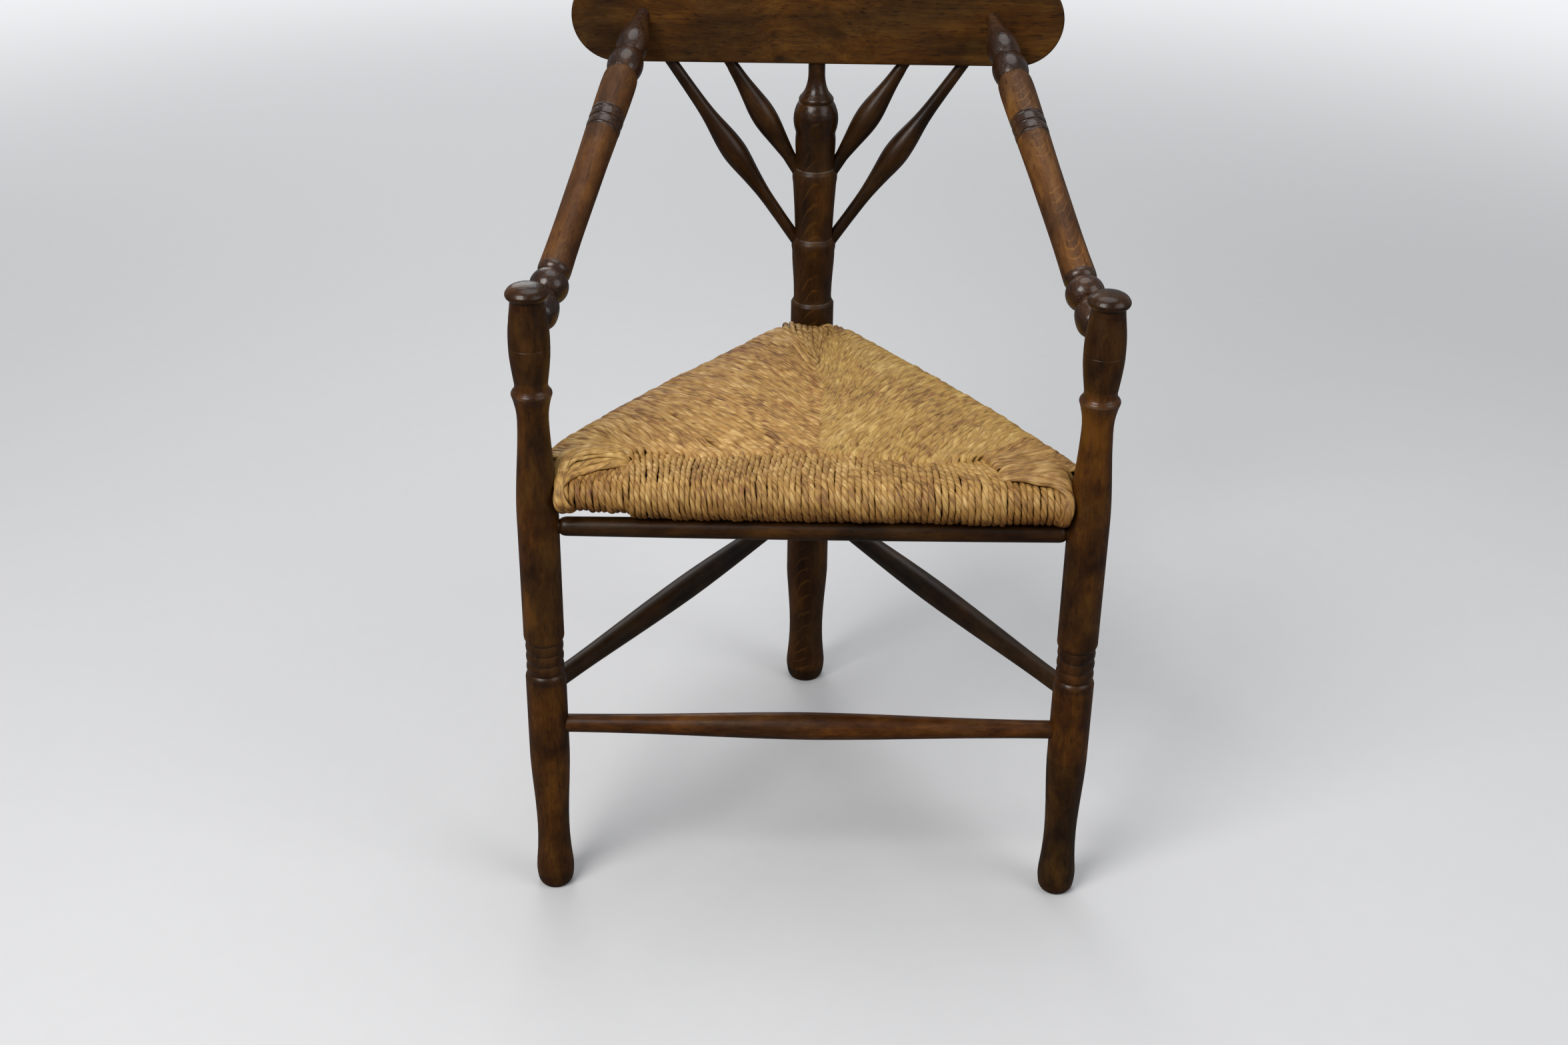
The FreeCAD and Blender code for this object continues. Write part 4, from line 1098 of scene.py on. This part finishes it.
class CORNERCHAIR_OT_rails(bpy.types.Operator):
    """Finish the stretchers, the apron rail and the hidden seat rails"""

    bl_idname = "cornerchair.rails"
    bl_label = "Stretchers and rails"

    def execute(self, context):
        colours = context.scene.corner_chair_wood
        for name, seed, wear, share in (("front_stretcher", 21.0, 1.0, (1.40, 1.32, 1.50)),
                                        ("apron_rail", 27.0, 0.7, (0.72, 0.76, 0.85)),
                                        ("seat_rail_front", 31.0, 0.2, (1.0, 1.0, 1.0))):
            place = node_middle(name)
            finish_node(name, ACROSS, (0.0, place.y, place.z), stains(colours, share), seed,
                        (0.028, 0.012, 0.003), 3.6, polish=colours.polish - 0.10, wear=wear)
        tones = stains(colours, (0.60, 0.70, 0.95))
        for side, word in SIDES.items():
            along = Vector((-side * POST_X, REAR_Y - FRONT_Y, 0.0))
            for name, seed, wear in ((f"side_stretcher_{word}", 41.0, 0.6), (f"seat_rail_{word}", 45.0, 0.2)):
                finish_node(name, along, (side * POST_X, FRONT_Y, node_middle(name).z), tones, seed + side,
                            (0.026, -0.014, 0.003), 3.5, polish=colours.polish, wear=wear)
        return {"FINISHED"}


class CORNERCHAIR_OT_spindles(bpy.types.Operator):
    """Finish the four slanting back spindles"""

    bl_idname = "cornerchair.spindles"
    bl_label = "Back spindles"

    def execute(self, context):
        colours = context.scene.corner_chair_wood
        tones = stains(colours, (0.52, 0.56, 0.85))
        for side, word in SIDES.items():
            for kind, seed in (("outer", 51.0), ("inner", 57.0)):
                name = f"back_spindle_{kind}_{word}"
                low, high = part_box(name)
                along = Vector((side * (high.x - low.x), 0.0, high.z - low.z))
                foot = (low.x if side > 0 else high.x, REAR_Y, low.z)
                finish_node(name, along, foot, tones, seed + side, (0.024, 0.010, 0.004), 3.2, rings=0.12,
                            polish=colours.polish - 0.12)
        return {"FINISHED"}


class CORNERCHAIR_OT_arms(bpy.types.Operator):
    """Finish the sloping arms: paler shafts between dark turned ends and a dark ringed band"""

    bl_idname = "cornerchair.arms"
    bl_label = "Arms"

    def execute(self, context):
        colours = context.scene.corner_chair_wood
        tones = stains(colours, kind="arm_")
        stain = tuple(d / m for d, m in zip(ARM_END_STAIN, colours.arm_middle))
        shafts = {-1: [(82.7, 247.5, (0.78, 0.74, 0.64), 1.0, 0.0),
                       (273.0, 326.0, (0.85, 0.86, 0.9), 0.9, 0.0)],
                  1: [(273.0, 326.0, (1.3, 1.35, 1.35), 0.9, 0.0)]}
        for side, word in SIDES.items():
            foot = Vector((side * POST_X, FRONT_Y, ARM_FOOT_Z))
            head = Vector((side * ARM_HEAD_X, REAR_Y - BOARD_HALF, ARM_HEAD_Z))
            ends = [(-20, 82.7, stain, 1.0, ARM_END_GLOSS), (247.5, 273.0, stain, 0.95, ARM_END_GLOSS),
                    (326.0, 440.0, stain, 0.92 if side > 0 else 1.0, ARM_END_GLOSS)]
            finish_node(f"arm_{word}", head - foot, foot, tones, 61.0 + 3 * side, (0.002 * side, 0.040, 0.24),
                        2.6, rings=0.30 if side > 0 else 0.10, figure=0.010, fibre=0.5, cloud=1.3, pores=0.5,
                        flecks=0.24, polish=colours.polish + 0.14, wander=5.0, bands=ends + shafts[side],
                        lines=[(251.5, 0.6, 0.25), (272.0, 0.6, 0.25)])
        return {"FINISHED"}


class CORNERCHAIR_OT_board(bpy.types.Operator):
    """Finish the back board in golden brown with open pores and a knot"""

    bl_idname = "cornerchair.board"
    bl_label = "Back board"

    def execute(self, context):
        colours = context.scene.corner_chair_wood
        place = node_middle("back_board")
        face_y = (place.y - BOARD_HALF) / MM
        finish_node("back_board", ACROSS, place, stains(colours, kind="board_"), 77.0, (0.020, 0.075, 0.012),
                    4.6, rings=0.05, fibre=0.75, cloud=1.0, pores=0.6, flecks=0.26, polish=colours.polish,
                    wear=0.6, wander=9.0,
                    knots=[((x, face_y, z), reach, darkness) for x, z, reach, darkness in BOARD_KNOTS])
        return {"FINISHED"}


# Rush seat

CORNER_TINT = (0.86, 0.80, 0.72)
SIDE_TINT = {-1: (0.96, 0.93, 0.93), 1: (1.0, 1.05, 1.0)}
SIDE_CONTRAST = {-1: 1.0, 1: 0.75}
FLAP_TINT = {-1: (1.04, 1.04, 1.0), 1: (0.78, 0.73, 0.66)}
REAR_TINT = (0.86, 0.86, 0.88)


def seat_piece(maker, name, material, *replaced):
    """The maker's cords as one rush piece on the frame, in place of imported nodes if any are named."""
    piece = maker.mesh(name)
    piece.data.materials.append(material)
    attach(piece, "root")
    if replaced:
        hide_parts(*replaced)


class CORNERCHAIR_OT_front_rush(bpy.types.Operator):
    """Wind the strip over the front rail and the short turns at its corners"""

    bl_idname = "cornerchair.front_rush"
    bl_label = "Front rush"

    def execute(self, context):
        sizes = context.scene.corner_chair_rush
        maker = CordMaker(11, CORD_STEP)
        wind_front(sizes, maker)
        seat_piece(maker, "rush_front_strip", rush_material("front_rush", sizes, contrast=0.85),
                   "rush_panel_front")
        maker = CordMaker(12, CORD_STEP)
        wind_corners(sizes, maker)
        seat_piece(maker, "rush_front_corners", rush_material("corner_rush", sizes, CORNER_TINT))
        return {"FINISHED"}


class CORNERCHAIR_OT_side_rush(bpy.types.Operator):
    """Wind both side panels with their flaps, and the fan at the rear corner"""

    bl_idname = "cornerchair.side_rush"
    bl_label = "Side rush"

    def execute(self, context):
        sizes = context.scene.corner_chair_rush
        for side, word in SIDES.items():
            maker = CordMaker(20 + side, SIDE_CORD_STEP)
            wind_side(side, sizes, maker, FLAP_END, LAST_SIDE_CORD)
            material = rush_material(f"side_rush_{word}", sizes, SIDE_TINT[side], 0.3, SIDE_CONTRAST[side])
            seat_piece(maker, f"rush_side_{word}", material, f"rush_panel_{word}")
            maker = CordMaker(24 + side, CORD_STEP)
            wind_side(side, sizes, maker, FIRST_SIDE_CORD, FLAP_END)
            wind_turns(side, sizes, maker)
            material = rush_material(f"flap_rush_{word}", sizes, FLAP_TINT[side], 0.3)
            seat_piece(maker, f"rush_flap_{word}", material)
        maker = CordMaker(30, CORD_STEP)
        wind_rear(sizes, maker)
        seat_piece(maker, "rush_rear_fan", rush_material("rear_rush", sizes, REAR_TINT))
        return {"FINISHED"}


# Stage

FLOOR_SIDES = 96
# Share of its light that the floor throws back up at the chair
FLOOR_BOUNCE = 0.22
# Distances from the chair, in metres, between which the floor fades into the background
FADE_START, FADE_END = 1.3, 4.0
BACKGROUND = (0.90, 0.91, 0.93, 1.0)
ROOM_LIGHT = (0.93, 0.96, 1.0, 1.0)
# Name, place, size in metres, power and colour; all are aimed at AIM
LAMPS = (("window_lamp", (-1.3, -1.7, 2.3), 1.5, 52.0, (1.0, 0.99, 0.97)),
         ("fill_lamp", (1.8, -1.2, 1.7), 1.6, 14.0, (1.0, 1.0, 1.0)),
         ("ceiling_lamp", (0.1, 0.5, 2.9), 2.0, 21.0, (1.0, 1.0, 1.0)),
         ("back_lamp", (-0.6, 2.2, 1.6), 1.4, 10.0, (1.0, 1.0, 1.0)))
AIM = Vector((0.0, 0.0, 0.45))


def add_camera():
    """The camera, at the photograph's place and with its lens."""
    lens = bpy.data.cameras.new("photo_camera")
    lens.sensor_width = SENSOR_WIDTH
    lens.lens = FOCAL_PIXELS / IMAGE_WIDTH * SENSOR_WIDTH
    lens.clip_start, lens.clip_end = 0.05, 60.0
    camera = new_object("photo_camera", lens)
    yaw, pitch, roll = (math.radians(turn) for turn in (CAMERA_YAW, CAMERA_PITCH, CAMERA_ROLL))
    level = Vector((-math.sin(yaw), math.cos(yaw), 0.0))
    across = Vector((math.cos(yaw), math.sin(yaw), 0.0))
    ahead = level * math.cos(pitch) - UP * math.sin(pitch)
    top = level * math.sin(pitch) + UP * math.cos(pitch)
    right = across * math.cos(roll) + top * math.sin(roll)
    up = top * math.cos(roll) - across * math.sin(roll)
    turn = Matrix((right, up, -ahead)).transposed().to_4x4()
    camera.matrix_world = Matrix.Translation(Vector(CAMERA_PLACE) * MM) @ turn
    bpy.context.scene.camera = camera


def add_lamp(name, place, size, power, colour):
    """A round soft lamp that faces the chair."""
    lamp = bpy.data.lights.new(name, "AREA")
    lamp.shape = "DISK"
    lamp.size = size
    lamp.energy = power
    lamp.color = colour
    holder = new_object(name, lamp)
    holder.location = place
    holder.rotation_euler = (AIM - Vector(place)).to_track_quat("-Z", "Y").to_euler()


def floor_material(colour):
    """Plain floor, dimmed for what it throws back at the chair, that fades into the background."""
    material, nodes, shader = new_material("pale_floor")
    place = nodes.add("ShaderNodeTexCoord").outputs["Object"]
    speckle = nodes.noise(nodes.scaled(place, 40.0), detail=3.0)
    low, high = ((*[min(1.0, c * share) for c in colour], 1.0) for share in (0.985, 1.015))
    tint = nodes.mix(speckle, low, high)
    camera_ray = nodes.add("ShaderNodeLightPath").outputs["Is Camera Ray"]
    dim = nodes.tinted(tint, (FLOOR_BOUNCE,) * 3)
    nodes.put(shader.inputs["Base Color"], nodes.mix(camera_ray, dim, tint))
    shader.inputs["Roughness"].default_value = 0.7
    shader.inputs["Specular IOR Level"].default_value = 0.2
    glow = nodes.filled(nodes.add("ShaderNodeEmission"), BACKGROUND).outputs[0]
    far = nodes.step(nodes.vector("LENGTH", place), FADE_START, FADE_END)
    out = [node for node in material.node_tree.nodes if node.type == "OUTPUT_MATERIAL"][0]
    faded = nodes.shaders(nodes.times(far, camera_ray), shader.outputs["BSDF"], glow)
    nodes.put(out.inputs["Surface"], faded)
    return material


def add_floor(radius, colour):
    """A round flat floor at the feet."""
    mesh = bpy.data.meshes.new("floor")
    turns = [2 * math.pi * number / FLOOR_SIDES for number in range(FLOOR_SIDES)]
    ring = [(radius * math.cos(turn), radius * math.sin(turn), 0.0) for turn in turns]
    mesh.from_pydata(ring, [], [list(range(FLOOR_SIDES))])
    floor = new_object("floor", mesh)
    mesh.materials.append(floor_material(colour))


def add_room(strength):
    """Even light from all round, with the plain background in the camera's view."""
    world = bpy.data.worlds.new("room")
    world.use_nodes = True
    world.node_tree.nodes.clear()
    bpy.context.scene.world = world
    nodes = Nodes(world.node_tree)
    even = nodes.filled(nodes.add("ShaderNodeBackground"), ROOM_LIGHT, strength).outputs[0]
    seen = nodes.filled(nodes.add("ShaderNodeBackground"), BACKGROUND).outputs[0]
    camera_ray = nodes.add("ShaderNodeLightPath").outputs["Is Camera Ray"]
    out = nodes.add("ShaderNodeOutputWorld")
    nodes.put(out.inputs["Surface"], nodes.shaders(camera_ray, even, seen))


class CORNERCHAIR_OT_stage(bpy.types.Operator):
    """Set up the camera, the plain floor, the soft lamps and the room light"""

    bl_idname = "cornerchair.stage"
    bl_label = "Stage"

    def execute(self, context):
        stage = context.scene.corner_chair_stage
        add_camera()
        add_floor(stage.floor_radius, tuple(stage.floor))
        add_room(stage.sky)
        for name, place, size, power, colour in LAMPS:
            add_lamp(name, place, size, power * stage.lamps, colour)
        context.scene.view_settings.view_transform = "Standard"
        return {"FINISHED"}


SETTINGS = {"corner_chair_wood": WoodColours, "corner_chair_rush": RushSizes,
            "corner_chair_stage": StageSizes}
STEPS = ("stage", "posts", "rails", "spindles", "arms", "board", "front_rush", "side_rush")


class CORNERCHAIR_PT_sidebar(bpy.types.Panel):
    """The chair's steps and what they use"""

    bl_idname = "CORNERCHAIR_PT_sidebar"
    bl_label = "Corner chair"
    bl_space_type = "VIEW_3D"
    bl_region_type = "UI"
    bl_category = "Corner chair"

    def draw(self, context):
        layout = self.layout
        for name in SETTINGS:
            settings = getattr(context.scene, name)
            box = layout.box()
            for key in settings.__annotations__:
                box.prop(settings, key)
        for step in STEPS:
            layout.operator(f"cornerchair.{step}")


CLASSES = (*SETTINGS.values(), CORNERCHAIR_OT_stage, CORNERCHAIR_OT_posts, CORNERCHAIR_OT_rails,
           CORNERCHAIR_OT_spindles, CORNERCHAIR_OT_arms, CORNERCHAIR_OT_board, CORNERCHAIR_OT_front_rush,
           CORNERCHAIR_OT_side_rush, CORNERCHAIR_PT_sidebar)


def register():
    for item in CLASSES:
        bpy.utils.register_class(item)
    for name, group in SETTINGS.items():
        setattr(bpy.types.Scene, name, bpy.props.PointerProperty(type=group))


def unregister():
    for name in SETTINGS:
        delattr(bpy.types.Scene, name)
    for item in reversed(CLASSES):
        bpy.utils.unregister_class(item)


def main():
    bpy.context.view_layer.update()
    register()
    for step in STEPS:
        getattr(bpy.ops.cornerchair, step)()


if __name__ == "__main__":
    main()
